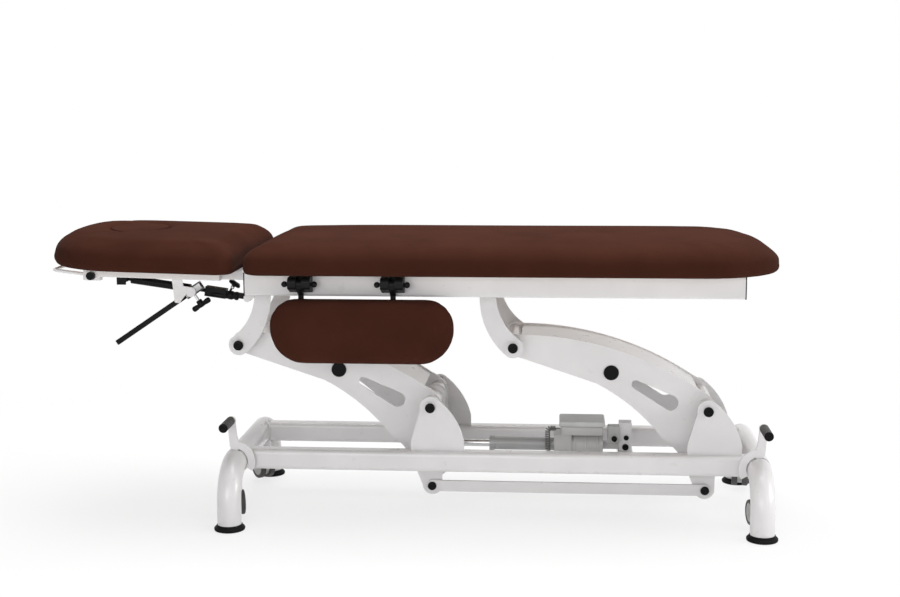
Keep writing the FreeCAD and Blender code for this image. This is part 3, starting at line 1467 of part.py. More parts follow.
def pedal_outline(outward):
    """Start point and steps round the lever, from its top, measured from the tube's centre."""

    def at(inward, up):
        return (-outward * inward, up)

    def turned(radius, degrees):
        angle = math.radians(degrees)
        return at(radius * math.cos(angle), radius * math.sin(angle))

    height = S.pedal_height - S.arch_height
    lean = -S.pedal_lean
    half = 10.5
    boss = S.pedal_wide / 2
    return at(lean - half, height - 6), [
        at(lean, height + 10) + at(lean + half, height - 6),
        at(5.5, S.pedal_outer + 17),
        turned(S.pedal_outer, 80),
        turned(S.pedal_outer, 25) + turned(S.pedal_outer, -30),
        turned(S.pedal_inner, -30),
        turned(S.pedal_inner, 22) + turned(S.pedal_inner, 75),
        turned(boss, 42),
        turned(boss, -90) + turned(boss, 115),
        turned(S.pedal_inner - 3, 99),
        at(-12, S.pedal_inner + 2) + at(-14, S.pedal_inner + 9),
        at(lean - half, height - 6),
    ]


def pedal(prefix, arch_x, outward):
    lean = outward * S.pedal_lean
    begin, steps = pedal_outline(outward)
    lever = plate(prefix + "_lever", begin, steps, "pedal_thick")
    lever.Placement.Base = Vector(arch_x, -S.castor_y, S.arch_height)
    shaft = bar(prefix + "_shaft", "shaft_radius", "150", (arch_x, -S.castor_y - 4, S.arch_height), (0, 1, 0))
    spigot = bar(prefix + "_spigot", "grip_radius - 4", "grip_start - grip_end - 6",
                 (arch_x + lean, -S.grip_start + 6, S.pedal_height), (0, 1, 0))
    arm = fuse(prefix + "_arm", lever, shaft, spigot)
    grip = bar(prefix + "_grip", "grip_radius", "grip_start - castor_y - pedal_thick / 2 - part_gap",
               (arch_x + lean, -S.grip_start, S.pedal_height), (0, 1, 0))
    hole = bar(prefix + "_grip_hole", "grip_radius - 3.9", "grip_start",
               (arch_x + lean, -S.grip_start + 5.7, S.pedal_height), (0, 1, 0))
    keep(prefix + "_pedal", group(prefix + "_pedal_group", arm, cut(prefix + "_grip_part", grip, hole)))


def build():
    end_arch("end_arch_head", head_arch_x, -1)
    end_arch("end_arch_foot", foot_arch_x, 1)
    rubber_feet()
    side_rail("side_rail_near", -1)
    side_rail("side_rail_far", 1)
    base_lugs()
    pivot_axles("base_pivot_axles", S.base_pivot_x, S.base_pivot_height, S.side_rail_y + S.lug_thick / 2 + 4)
    lift_arm("head_arm", S.base_pivot_x, "axle_radius + running_fit", "running_fit", True)
    lift_arm("foot_arm", S.base_pivot_x + S.pivot_spacing, "axle_radius + open_pivot", "open_pivot", False)
    tie_rods()
    cross_beam()
    actuator()
    control_box()
    curly_lead()
    top_rails()
    top_cross_rails()
    hangers()
    pivot_axles("top_pivot_axles", top_pivot_x, top_pivot_height, S.hanger_y + S.hanger_thick / 2 + 4)
    rail_end_caps()
    seam_half = S.seam_gap / 2
    section("main", S.seam_place + seam_half, half_length, S.seam_corner, S.pad_corner, False, False)
    section("head", -half_length, S.seam_place - seam_half, S.pad_corner, S.seam_corner, True, True)
    face_plug()
    head_rail("head_rail_near", -1)
    head_rail("head_rail_far", 1)
    head_cross_rails()
    head_hinge_lugs()
    gas_spring()
    release_lever()
    spring_knob()
    paper_roll_bar()
    roll_knob()
    armrest()
    armrest_clamps()
    castor_parts("head", head_arch_x, -1)
    castor_parts("foot", foot_arch_x, 1)
    pedal("head", head_arch_x, -1)
    pedal("foot", foot_arch_x, 1)
    doc.recompute()


def write():
    broken = [thing.Name for thing in doc.Objects if "Invalid" in thing.State or "Error" in thing.State]
    if broken:
        raise RuntimeError("not built: " + ", ".join(broken))
    for piece in pieces:
        if piece.Shape.isNull() or not piece.Shape.isValid() or not piece.Shape.Solids:
            raise RuntimeError(piece.Label + " has no valid solid")
    os.makedirs("parts", exist_ok=True)
    for piece in pieces:
        piece.Shape.exportStep(os.path.join("parts", piece.Label + ".step"))
        box = piece.Shape.BoundBox
        print("%-26s solids %d  x %8.1f %8.1f  y %7.1f %7.1f  z %6.1f %6.1f" % (
            piece.Label, len(piece.Shape.Solids), box.XMin, box.XMax, box.YMin, box.YMax, box.ZMin, box.ZMax))
    print(len(pieces), "sub-parts")



build()
write()
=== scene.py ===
# Electric massage table: its cushions, small hard pieces, materials, stage and camera round the CAD frame.
import json
import math

import bmesh
import bpy
from mathutils import Matrix, Vector, noise


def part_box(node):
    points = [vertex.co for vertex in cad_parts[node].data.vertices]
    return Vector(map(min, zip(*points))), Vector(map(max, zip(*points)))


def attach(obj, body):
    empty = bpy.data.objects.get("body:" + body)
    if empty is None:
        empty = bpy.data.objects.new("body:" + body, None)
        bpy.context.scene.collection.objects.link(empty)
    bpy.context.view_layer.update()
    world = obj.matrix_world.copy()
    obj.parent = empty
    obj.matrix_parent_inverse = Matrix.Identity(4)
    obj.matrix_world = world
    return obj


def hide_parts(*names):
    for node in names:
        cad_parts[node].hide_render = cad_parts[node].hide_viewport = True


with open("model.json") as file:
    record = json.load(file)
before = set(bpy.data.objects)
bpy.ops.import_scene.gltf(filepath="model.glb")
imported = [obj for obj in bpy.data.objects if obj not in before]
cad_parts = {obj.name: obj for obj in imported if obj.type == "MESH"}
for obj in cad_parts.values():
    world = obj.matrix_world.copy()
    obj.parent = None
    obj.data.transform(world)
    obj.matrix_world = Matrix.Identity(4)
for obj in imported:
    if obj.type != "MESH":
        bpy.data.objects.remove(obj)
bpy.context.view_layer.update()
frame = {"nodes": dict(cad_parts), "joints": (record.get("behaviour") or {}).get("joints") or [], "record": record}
nodes = frame["nodes"]
node_slots = {part["node"]: part["material_slot"] for part in frame["record"]["subparts"]}

# Lengths in metres. The camera comes from a fit to the feet and pivots in the photograph.
CAMERA_PLACE = Vector((0.39079, -3.83309, 1.15627))
CAMERA_YAW = math.radians(4.417)
CAMERA_PITCH = math.radians(8.433)
CAMERA_ROLL = math.radians(-0.187)
CAMERA_LENS = 56.15

# The bed: its half length and width, the seam between its sections, and the cushions' form.
HALF_LENGTH = 0.981
HALF_BED = 0.310
HALF_GAP = 0.004
PAD_BOTTOM = 0.685
PAD_TOP = 0.760
PAD_CORNER = 0.210
SEAM_CORNER = 0.048
PAD_EDGE = 0.060
PAD_TUCK = 0.016
PAD_LIP = 0.003
PAD_BELLY = 0.44
PAD_SWELL = 0.003
PAD_CROWN = 0.018
FOOT_DROOP = 0.011
DROOP_LENGTH = 0.20
BOARD_INSET = 0.0305
BOARD_THICK = 0.012
BOARD_ROOM = 0.0006

# How far the cloth may swell, as a share of the room that was left for it.
SWELL_SHARE = 1.6
CLOTH_PRESSURE = 4.0
CLOTH_FRAMES = 20
CLOTH_STIFFNESS = 20

FACE_HOLE = Vector((-0.775, 0.0))
FACE_HOLE_LONG = 0.150
FACE_HOLE_WIDE = 0.230
HOLE_RIM = 0.0025
ARMREST_PROUD = Vector((0.008, 0, 0.007))
HEAD_LEAN = math.radians(1.5)
HINGE = Vector((-0.438, 0, 0.672))
RELEASE_PLATE = Vector((-0.5185, 0, 0.6142))


# Small helpers


def link(thing):
    bpy.context.scene.collection.objects.link(thing)
    return thing


def joint_line(name):
    """Place and direction of a joint's axis."""
    joint = [row for row in frame["joints"] if row["name"] == name][0]
    return Vector(joint["pos_m"]), Vector(joint["axis"]).normalized()


def mesh_piece(name, vertices, faces, material, body):
    data = bpy.data.meshes.new(name)
    data.from_pydata([tuple(v) for v in vertices], [], faces)
    data.validate()
    data.update()
    piece = link(bpy.data.objects.new(name, data))
    for face in data.polygons:
        face.use_smooth = True
    data.materials.append(material)
    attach(piece, body)
    return piece


def basis(axis):
    """Two unit vectors square to an axis and to each other."""
    axis = Vector(axis).normalized()
    helper = Vector((0, 0, 1)) if abs(axis.z) < 0.9 else Vector((1, 0, 0))
    first = axis.cross(helper).normalized()
    return first, axis.cross(first).normalized()


def lathe(name, profile, origin, axis, material, body, turns=40):
    """A turned piece: the profile holds radius and distance along the axis."""
    axis = Vector(axis).normalized()
    first, second = basis(axis)
    vertices = []
    rings = []
    for radius, along in profile:
        centre = Vector(origin) + axis * along
        if radius < 1e-6:
            rings.append([len(vertices)])
            vertices.append(centre)
            continue
        start = len(vertices)
        for step in range(turns):
            angle = 2 * math.pi * step / turns
            vertices.append(centre + (first * math.cos(angle) + second * math.sin(angle)) * radius)
        rings.append(list(range(start, start + turns)))
    faces = []
    for low, high in zip(rings, rings[1:]):
        for step in range(turns):
            after = (step + 1) % turns
            if len(low) == 1 and len(high) == 1:
                continue
            if len(low) == 1:
                faces.append((low[0], high[step], high[after]))
            elif len(high) == 1:
                faces.append((low[step], high[0], low[after]))
            else:
                faces.append((low[step], high[step], high[after], low[after]))
    return mesh_piece(name, vertices, faces, material, body)


def side_faces(levels, count, turned=False):
    """Faces between rings of points that lie one above the other, turned over when asked."""
    faces = []
    for level in range(levels - 1):
        for step in range(count):
            after = (step + 1) % count
            here = level * count
            there = here + count
            if turned:
                faces.append((here + after, here + step, there + step, there + after))
            else:
                faces.append((here + step, here + after, there + after, there + step))
    return faces


def outward(data):
    """Turns every face of a closed mesh outward."""
    work = bmesh.new()
    work.from_mesh(data)
    bmesh.ops.recalc_face_normals(work, faces=work.faces)
    work.to_mesh(data)
    work.free()


def round_box(name, low, high, material, body, bevel, segments=3):
    """A box with rounded edges between two corners."""
    data = bpy.data.meshes.new(name)
    work = bmesh.new()
    bmesh.ops.create_cube(work, size=1.0)
    low, high = Vector(low), Vector(high)
    size = high - low
    centre = (high + low) / 2
    placing = Matrix.Translation(centre) @ Matrix.Diagonal((*size, 1.0))
    bmesh.ops.transform(work, matrix=placing, verts=work.verts)
    bmesh.ops.bevel(work, geom=list(work.edges), offset=bevel, segments=segments, profile=0.5, affect="EDGES")
    work.to_mesh(data)
    work.free()
    for face in data.polygons:
        face.use_smooth = True
    data.materials.append(material)
    piece = link(bpy.data.objects.new(name, data))
    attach(piece, body)
    return piece


# Materials


def new_material(name):
    material = bpy.data.materials.new(name)
    material.use_nodes = True
    tree = material.node_tree
    shader = tree.nodes["Principled BSDF"]
    place = tree.nodes.new("ShaderNodeTexCoord")
    return material, tree, shader, place


def noise_node(tree, place, scale, detail=4.0):
    texture = tree.nodes.new("ShaderNodeTexNoise")
    texture.inputs["Scale"].default_value = scale
    texture.inputs["Detail"].default_value = detail
    texture.inputs["Roughness"].default_value = 0.55
    tree.links.new(place.outputs["Object"], texture.inputs["Vector"])
    return texture


def colour_from(tree, factor, dark, light, shader):
    """A base colour that goes from dark to light with a noise's value."""
    ramp = tree.nodes.new("ShaderNodeValToRGB")
    ramp.color_ramp.elements[0].position = 0.35
    ramp.color_ramp.elements[0].color = (*dark, 1)
    ramp.color_ramp.elements[1].position = 0.65
    ramp.color_ramp.elements[1].color = (*light, 1)
    tree.links.new(factor, ramp.inputs["Fac"])
    tree.links.new(ramp.outputs["Color"], shader.inputs["Base Color"])


def roughness_from(tree, factor, low, high, shader):
    spread = tree.nodes.new("ShaderNodeMapRange")
    spread.inputs["To Min"].default_value = low
    spread.inputs["To Max"].default_value = high
    tree.links.new(factor, spread.inputs["Value"])
    tree.links.new(spread.outputs["Result"], shader.inputs["Roughness"])


def bump_from(tree, height, strength, distance, shader, before=None):
    bump = tree.nodes.new("ShaderNodeBump")
    bump.inputs["Strength"].default_value = strength
    bump.inputs["Distance"].default_value = distance
    tree.links.new(height, bump.inputs["Height"])
    if before is not None:
        tree.links.new(before.outputs["Normal"], bump.inputs["Normal"])
    tree.links.new(bump.outputs["Normal"], shader.inputs["Normal"])
    return bump


def paint(name, dark, light, roughness=(0.24, 0.34), coat=0.35, metallic=0.0, gloss=0.5):
    """Powder coat: faint cloudiness, a fine orange-peel and a thin gloss coat."""
    material, tree, shader, place = new_material(name)
    clouds = noise_node(tree, place, 5.0)
    colour_from(tree, clouds.outputs["Fac"], dark, light, shader)
    marks = noise_node(tree, place, 38.0, detail=6.0)
    roughness_from(tree, marks.outputs["Fac"], roughness[0], roughness[1], shader)
    peel = noise_node(tree, place, 420.0, detail=2.0)
    bump_from(tree, peel.outputs["Fac"], 0.05, 0.0006, shader)
    shader.inputs["Specular IOR Level"].default_value = gloss
    shader.inputs["Coat Weight"].default_value = coat
    shader.inputs["Coat Roughness"].default_value = 0.12
    shader.inputs["Metallic"].default_value = metallic
    return material


def upholstery():
    """Brown vinyl leathercloth with a fine pebbled grain."""
    material, tree, shader, place = new_material("brown_upholstery")
    clouds = noise_node(tree, place, 7.0)
    colour_from(tree, clouds.outputs["Fac"], (0.046, 0.0158, 0.0100), (0.056, 0.0192, 0.0122), shader)
    pebbles = tree.nodes.new("ShaderNodeTexVoronoi")
    pebbles.feature = "SMOOTH_F1"
    pebbles.inputs["Scale"].default_value = 620.0
    pebbles.inputs["Smoothness"].default_value = 0.6
    tree.links.new(place.outputs["Object"], pebbles.inputs["Vector"])
    creases = noise_node(tree, place, 190.0, detail=6.0)
    fine = bump_from(tree, pebbles.outputs["Distance"], 0.16, 0.0005, shader)
    bump_from(tree, creases.outputs["Fac"], 0.10, 0.0006, shader, before=fine)
    roughness_from(tree, creases.outputs["Fac"], 0.52, 0.66, shader)
    shader.inputs["Specular IOR Level"].default_value = 0.0
    shader.inputs["Sheen Weight"].default_value = 0.02
    return material


def moulded(name, dark, light, roughness=(0.42, 0.56), grain=650.0, gloss=0.4):
    """Moulded plastic or rubber with a fine spark texture."""
    material, tree, shader, place = new_material(name)
    clouds = noise_node(tree, place, 12.0)
    colour_from(tree, clouds.outputs["Fac"], dark, light, shader)
    texture = noise_node(tree, place, grain, detail=3.0)
    roughness_from(tree, texture.outputs["Fac"], roughness[0], roughness[1], shader)
    bump_from(tree, texture.outputs["Fac"], 0.12, 0.0004, shader)
    shader.inputs["Specular IOR Level"].default_value = gloss
    return material


def steel(name, dark, light):
    """Bright steel with drawn lines."""
    material, tree, shader, place = new_material(name)
    mapping = tree.nodes.new("ShaderNodeMapping")
    mapping.inputs["Scale"].default_value = (1.0, 1.0, 40.0)
    tree.links.new(place.outputs["Object"], mapping.inputs["Vector"])
    lines = tree.nodes.new("ShaderNodeTexNoise")
    lines.inputs["Scale"].default_value = 60.0
    tree.links.new(mapping.outputs["Vector"], lines.inputs["Vector"])
    colour_from(tree, lines.outputs["Fac"], dark, light, shader)
    roughness_from(tree, lines.outputs["Fac"], 0.22, 0.36, shader)
    shader.inputs["Metallic"].default_value = 1.0
    return material


def plywood():
    """Plywood with its grain along the bed."""
    material, tree, shader, place = new_material("plywood_board")
    mapping = tree.nodes.new("ShaderNodeMapping")
    mapping.inputs["Scale"].default_value = (1.5, 22.0, 60.0)
    tree.links.new(place.outputs["Object"], mapping.inputs["Vector"])
    grain = tree.nodes.new("ShaderNodeTexNoise")
    grain.inputs["Scale"].default_value = 6.0
    grain.inputs["Detail"].default_value = 6.0
    tree.links.new(mapping.outputs["Vector"], grain.inputs["Vector"])
    colour_from(tree, grain.outputs["Fac"], (0.24, 0.15, 0.08), (0.42, 0.29, 0.17), shader)
    bump_from(tree, grain.outputs["Fac"], 0.2, 0.0006, shader)
    shader.inputs["Roughness"].default_value = 0.7
    return material


WHITE = paint("white_powder_coat", (0.74, 0.725, 0.728), (0.80, 0.785, 0.788))
BROWN = upholstery()
BLACK = moulded("black_plastic", (0.0035, 0.0035, 0.0038), (0.0065, 0.0065, 0.0070), (0.26, 0.38), gloss=0.10)
RUBBER = moulded("black_rubber", (0.0050, 0.0050, 0.0050), (0.0100, 0.0100, 0.0100), (0.55, 0.70),
                 grain=420.0, gloss=0.08)
BLACK_PAINT = paint("black_powder_coat", (0.0050, 0.0050, 0.0054), (0.0095, 0.0095, 0.0100), (0.34, 0.46),
                    coat=0.0, gloss=0.10)
GREY_PAINT = paint("grey_metal_paint", (0.36, 0.36, 0.36), (0.46, 0.46, 0.46), (0.32, 0.44), coat=0.2)
GREY_PLASTIC = moulded("grey_plastic", (0.42, 0.42, 0.41), (0.50, 0.50, 0.49))
DARK_GREY = moulded("dark_grey_rubber", (0.055, 0.053, 0.052), (0.085, 0.082, 0.080), (0.5, 0.65))
MOTOR_GREY = paint("motor_grey_paint", (0.52, 0.51, 0.505), (0.60, 0.59, 0.585), (0.38, 0.5), coat=0.1)
SLEEVE_GREY = paint("sleeve_grey_metal", (0.30, 0.30, 0.30), (0.40, 0.40, 0.40), (0.30, 0.42), coat=0.1,
                    metallic=0.6)
CORD_GREY = moulded("cord_grey_plastic", (0.15, 0.145, 0.14), (0.20, 0.195, 0.19), (0.40, 0.52))
LIGHT_GREY = moulded("light_grey_plastic", (0.56, 0.56, 0.55), (0.64, 0.64, 0.63))
STEEL = steel("bright_steel", (0.50, 0.50, 0.50), (0.66, 0.66, 0.66))
PLYWOOD = plywood()

SLOT_MATERIALS = {
    "white_paint": WHITE,
    "upholstery": BROWN,
    "plywood": PLYWOOD,
    "black_rubber": RUBBER,
    "black_plastic": BLACK,
    "black_metal": BLACK_PAINT,
    "grey_metal": GREY_PAINT,
    "bright_steel": STEEL,
    "grey_plastic": GREY_PLASTIC,
    "castor_plastic": LIGHT_GREY,
    "castor_tread": DARK_GREY,
}

NODE_MATERIALS = {"actuator_motor": MOTOR_GREY}


def dress_nodes():
    """Gives each node of the frame the material of its slot, or one of its own."""
    for name, thing in nodes.items():
        thing.data.materials.clear()
        thing.data.materials.append(NODE_MATERIALS.get(name, SLOT_MATERIALS[node_slots[name]]))


# Pads: a crowned closed form, swollen by a short cloth simulation


def rounded_outline(low, high, half_wide, first, last, inset):
    """Points round a section seen from above, its two ends with their own corner radius."""
    low += inset
    high -= inset
    wide = half_wide - inset
    smallest = 0.004
    first = max(first - inset, smallest)
    last = max(last - inset, smallest)
    corners = [
        (high - last, -wide + last, last, -90),
        (high - last, wide - last, last, 0),
        (low + first, wide - first, first, 90),
        (low + first, -wide + first, first, 180),
    ]
    steps = 12
    points = []
    for centre_x, centre_y, radius, start in corners:
        for step in range(steps + 1):
            angle = math.radians(start + 90 * step / steps)
            points.append((centre_x + radius * math.cos(angle), centre_y + radius * math.sin(angle)))
    return points


def edge_profile(bottom, top, inner):
    """Inset and height of each ring from the recess for the board, round the edge, to the top."""
    lip = bottom - PAD_LIP
    rings = [(inner, bottom + BOARD_THICK + BOARD_ROOM), (inner, lip)]
    belly = bottom + PAD_BELLY * (top - bottom)
    for step in range(7):
        angle = math.radians(-90 + 90 * step / 6)
        rings.append((PAD_TUCK * (1 - math.cos(angle)), belly + (belly - lip) * math.sin(angle)))
    for step in range(1, 13):
        angle = math.radians(90 * step / 12)
        rings.append((PAD_EDGE * (1 - math.cos(angle)), belly + (top - belly) * math.sin(angle)))
    return rings


def ringed_piece(name, rings):
    """A closed form from rings of points, one above the other."""
    count = len(rings[0])
    vertices = [point for ring in rings for point in ring]
    faces = side_faces(len(rings), count)
    faces.append(tuple(range(count))[::-1])
    faces.append(tuple(range((len(rings) - 1) * count, len(rings) * count)))
    data = bpy.data.meshes.new(name)
    data.from_pydata(vertices, [], faces)
    data.update()
    return link(bpy.data.objects.new(name, data))


def pad_base(name, low, high, half_wide, first, last, bottom, top, hole=None):
    """The pad before it swells, closed at the top and in the board's recess."""
    recess_room = 0.0005
    profile = edge_profile(bottom, top, BOARD_INSET - recess_room)
    rings = [[Vector((x, y, height)) for x, y in rounded_outline(low, high, half_wide, first, last, inset)]
             for inset, height in profile]
    piece = ringed_piece(name, rings)
    if hole:
        cut_hole(piece, hole, bottom, top)
    return piece


def crown(place, low, high):
    """How far the foam stands up over its flat form at a place seen from above."""
    across = place.y / HALF_BED
    along = (2 * place.x - low - high) / (high - low)
    return PAD_CROWN * (1 - min(1.0, across * across)) * (1 - min(1.0, along ** 6))


def droop(place, high):
    """How far the foam falls away towards the foot end."""
    share = max(0.0, min(1.0, 1 - (high - place.x) / DROOP_LENGTH))
    return FOOT_DROOP * share * share if high > 0 else 0.0


def foam_share(height):
    """0 at the top of the board or below, 1 at the pad's top."""
    board_top = PAD_BOTTOM + BOARD_THICK
    return max(0.0, min(1.0, (height - board_top) / (PAD_TOP - board_top)))


def smooth_share(value):
    value = max(0.0, min(1.0, value))
    return value * value * (3 - 2 * value)


def raise_crown(piece, low, high):
    for point in piece.data.vertices:
        lift = crown(point.co, low, high) - droop(point.co, high)
        point.co.z += lift * smooth_share(foam_share(point.co.z))


def cut_hole(piece, hole, bottom, top):
    """Takes a flared oval hole out of a pad, wider at its rim."""
    centre, long_half, wide_half = hole
    levels = [(HOLE_RIM * 2, top + HOLE_RIM), (HOLE_RIM, top), (HOLE_RIM * 0.3, top - HOLE_RIM * 0.7),
              (0.0, top - HOLE_RIM * 1.7), (0.0, bottom - 0.002)]
    turns = 64
    vertices = []
    for flare, height in levels:
        for step in range(turns):
            angle = 2 * math.pi * step / turns
            vertices.append((centre.x + (long_half + flare) * math.cos(angle),
                             centre.y + (wide_half + flare) * math.sin(angle), height))
    faces = [tuple(range(turns)), tuple(range(len(vertices) - turns, len(vertices)))[::-1]]
    faces.extend(side_faces(len(levels), turns, turned=True))
    data = bpy.data.meshes.new("hole_cutter")
    data.from_pydata(vertices, [], faces)
    outward(data)
    cutter = link(bpy.data.objects.new("hole_cutter", data))
    boolean = piece.modifiers.new("hole", "BOOLEAN")
    boolean.operation = "DIFFERENCE"
    boolean.solver = "EXACT"
    boolean.object = cutter
    bake(piece)
    bpy.data.objects.remove(cutter)


def bake(piece):
    """Applies every modifier of a piece to its mesh."""
    view = bpy.context.evaluated_depsgraph_get()
    data = bpy.data.meshes.new_from_object(piece.evaluated_get(view))
    piece.modifiers.clear()
    piece.data = data


def remesh(piece, voxel):
    modifier = piece.modifiers.new("remesh", "REMESH")
    modifier.mode = "VOXEL"
    modifier.voxel_size = voxel
    modifier.use_smooth_shade = True
    bake(piece)


def swell(piece, pinned, cap):
    """Blows a pad up a little with cloth pressure; pinned says which points stay."""
    group = piece.vertex_groups.new(name="pinned")
    rest = [point.co.copy() for point in piece.data.vertices]
    held = [index for index, place in enumerate(rest) if pinned(place)]
    group.add(held, 1.0, "REPLACE")
    cloth = piece.modifiers.new("cloth", "CLOTH")
    cloth.settings.use_pressure = True
    cloth.settings.uniform_pressure_force = CLOTH_PRESSURE
    cloth.settings.vertex_group_mass = "pinned"
    cloth.settings.effector_weights.gravity = 0
    cloth.settings.quality = 4
    cloth.settings.tension_stiffness = CLOTH_STIFFNESS
    cloth.settings.compression_stiffness = CLOTH_STIFFNESS
    cloth.collision_settings.use_collision = False
    scene = bpy.context.scene
    for number in range(1, CLOTH_FRAMES + 1):
        scene.frame_set(number)
    bake(piece)
    scene.frame_set(1)
    for point, place in zip(piece.data.vertices, rest):
        move = point.co - place
        if move.length > cap:
            point.co = place + move * (cap / move.length)


def soften(piece, body):
    """Gives a baked pad its skin: smooth shading, one subdivision and the upholstery."""
    for face in piece.data.polygons:
        face.use_smooth = True
    piece.data.materials.clear()
    piece.data.materials.append(BROWN)
    modifier = piece.modifiers.new("smooth", "SUBSURF")
    modifier.levels = 1
    modifier.render_levels = 1
    bake(piece)
    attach(piece, body)


def relax(piece, rounds):
    """Smooths away the voxel steps."""
    work = bmesh.new()
    work.from_mesh(piece.data)
    for _ in range(rounds):
        bmesh.ops.smooth_vert(work, verts=list(work.verts), factor=0.5,
                              use_axis_x=True, use_axis_y=True, use_axis_z=True)
    work.to_mesh(piece.data)
    work.free()


def bed_pad(name, node, low, high, first, last, body, tilt=None, hole=None, voxel=0.007):
    """A cushion of the bed, between its two ends and with their corner radii."""
    pinned_height = 0.014
    piece = pad_base(name, low + PAD_SWELL, high - PAD_SWELL, HALF_BED - PAD_SWELL, first, last, PAD_BOTTOM,
                     PAD_TOP - PAD_SWELL, hole)
    remesh(piece, voxel)
    relax(piece, 6)
    raise_crown(piece, low, high)
    swell(piece, lambda place: place.z < PAD_BOTTOM + pinned_height, PAD_SWELL * SWELL_SHARE)
    relax(piece, 2)
    if tilt:
        piece.data.transform(tilt)
    soften(piece, body)
    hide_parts(node)


def bed_board(name, node, low, high, first, last, body, tilt=None, hole=None):
    """A plywood board in the recess under a pad, its corners as round as the pad's."""
    ease = 0.0008
    rings = []
    for inset, height in ((ease, 0.0), (0.0, ease), (0.0, BOARD_THICK - ease), (ease, BOARD_THICK)):
        rings.append([Vector((x, y, PAD_BOTTOM + height)) for x, y in rounded_outline(
            low, high, HALF_BED, first, last, BOARD_INSET + inset)])
    piece = ringed_piece(name, rings)
    if hole:
        cut_hole(piece, hole, PAD_BOTTOM, PAD_TOP)
    if tilt:
        piece.data.transform(tilt)
    piece.data.materials.clear()
    piece.data.materials.append(PLYWOOD)
    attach(piece, body)
    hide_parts(node)


def bed_pads():
    """The two cushions, the boards under them, and the plug in the face hole."""
    head_end = HINGE.x - HALF_GAP
    main = (HINGE.x + HALF_GAP, HALF_LENGTH, SEAM_CORNER, PAD_CORNER, "top_frame")
    head = (-HALF_LENGTH, head_end, PAD_CORNER, SEAM_CORNER, "head_section")
    tilt = Matrix.Translation(HINGE) @ Matrix.Rotation(HEAD_LEAN, 4, "Y") @ Matrix.Translation(-HINGE)
    long_half, wide_half = FACE_HOLE_LONG / 2, FACE_HOLE_WIDE / 2
    board_rim = 0.0035
    bed_pad("main_cushion", "main_pad", *main)
    bed_pad("head_cushion", "head_pad", *head, tilt, (FACE_HOLE, long_half, wide_half), voxel=0.006)
    bed_board("main_plywood", "main_board", *main)
    bed_board("head_plywood", "head_board", *head, tilt,
              (FACE_HOLE, long_half + board_rim, wide_half + board_rim))
    face_plug(-HALF_LENGTH, head_end, tilt)


def face_plug(low, high, tilt):
    """The oval cushion in the face hole, its rim rounded so that a groove runs round it."""
    room = 0.0007
    rim = 0.0035
    shoulder = PAD_TOP - PAD_SWELL - rim
    rings = [(room + 0.004, PAD_BOTTOM + 0.006), (room, PAD_BOTTOM + 0.010), (room, shoulder)]
    for step in range(1, 7):
        angle = math.radians(90 * step / 6)
        rings.append((room + rim * (1 - math.cos(angle)), shoulder + rim * math.sin(angle)))
    for inset, rise in ((0.026, 0.0004), (0.045, 0.0008), (0.062, 0.001)):
        rings.append((inset, shoulder + rim + rise))
    turns = 72
    vertices = []
    for inset, height in rings:
        for step in range(turns):
            angle = 2 * math.pi * step / turns
            vertices.append(Vector((FACE_HOLE.x + (FACE_HOLE_LONG / 2 - inset) * math.cos(angle),
                                    (FACE_HOLE_WIDE / 2 - inset) * math.sin(angle), height)))
    for place in vertices:
        place.z += crown(place, low, high) * foam_share(place.z)
    faces = [tuple(range(turns))[::-1], tuple(range(len(vertices) - turns, len(vertices)))]
    faces.extend(side_faces(len(rings), turns))
    data = bpy.data.meshes.new("plug_cushion")
    data.from_pydata(vertices, [], faces)
    data.transform(tilt)
    piece = link(bpy.data.objects.new("plug_cushion", data))
    soften(piece, "head_section")
    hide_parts("face_plug")


def armrest_pad():
    """The armrest's cushion: tight round corners above, wider ones below, crowned outward."""
    low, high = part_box("armrest_pad")
    low.x -= ARMREST_PROUD.x
    low.z -= ARMREST_PROUD.z
    top_corner = 0.068
    bottom_corner = 0.092
    back = high.y
    edge = 0.024
    edge_depth = 0.018
    swell_room = 0.0015
    pinned_depth = 0.003
    smallest = 0.003
    steps = 14

    def outline(inset):
        points = []
        corners = [
            (high.x - bottom_corner, low.z + bottom_corner, bottom_corner, -90),
            (high.x - top_corner, high.z - top_corner, top_corner, 0),
            (low.x + top_corner, high.z - top_corner, top_corner, 90),
            (low.x + bottom_corner, low.z + bottom_corner, bottom_corner, 180),
        ]
        for centre_x, centre_z, radius, start in corners:
            for step in range(steps + 1):
                angle = math.radians(start + 90 * step / steps)
                reach = max(radius - inset, smallest)
                points.append((centre_x + reach * math.cos(angle), centre_z + reach * math.sin(angle)))
        return points

    depth = back - low.y - swell_room
    rings = [(swell_room + 0.006, 0.0), (swell_room + 0.001, 0.004), (swell_room, 0.010)]
    for step in range(9):
        angle = math.radians(90 * step / 8)
        rings.append((swell_room + edge * (1 - math.cos(angle)), depth - edge_depth * (1 - math.sin(angle))))
    vertices = []
    for inset, out in rings:
        vertices.extend(Vector((x, back - out, z)) for x, z in outline(inset))
    count = len(outline(0))
    faces = [tuple(range(count)), tuple(range(len(vertices) - count, len(vertices)))[::-1]]
    faces.extend(side_faces(len(rings), count, turned=True))
    data = bpy.data.meshes.new("armrest_cushion")
    data.from_pydata(vertices, [], faces)
    outward(data)
    piece = link(bpy.data.objects.new("armrest_cushion", data))
    remesh(piece, 0.004)
    relax(piece, 6)
    swell(piece, lambda place: place.y > back - pinned_depth, swell_room * SWELL_SHARE)
    relax(piece, 2)
    soften(piece, "armrest")
    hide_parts("armrest_pad")


# Hard details


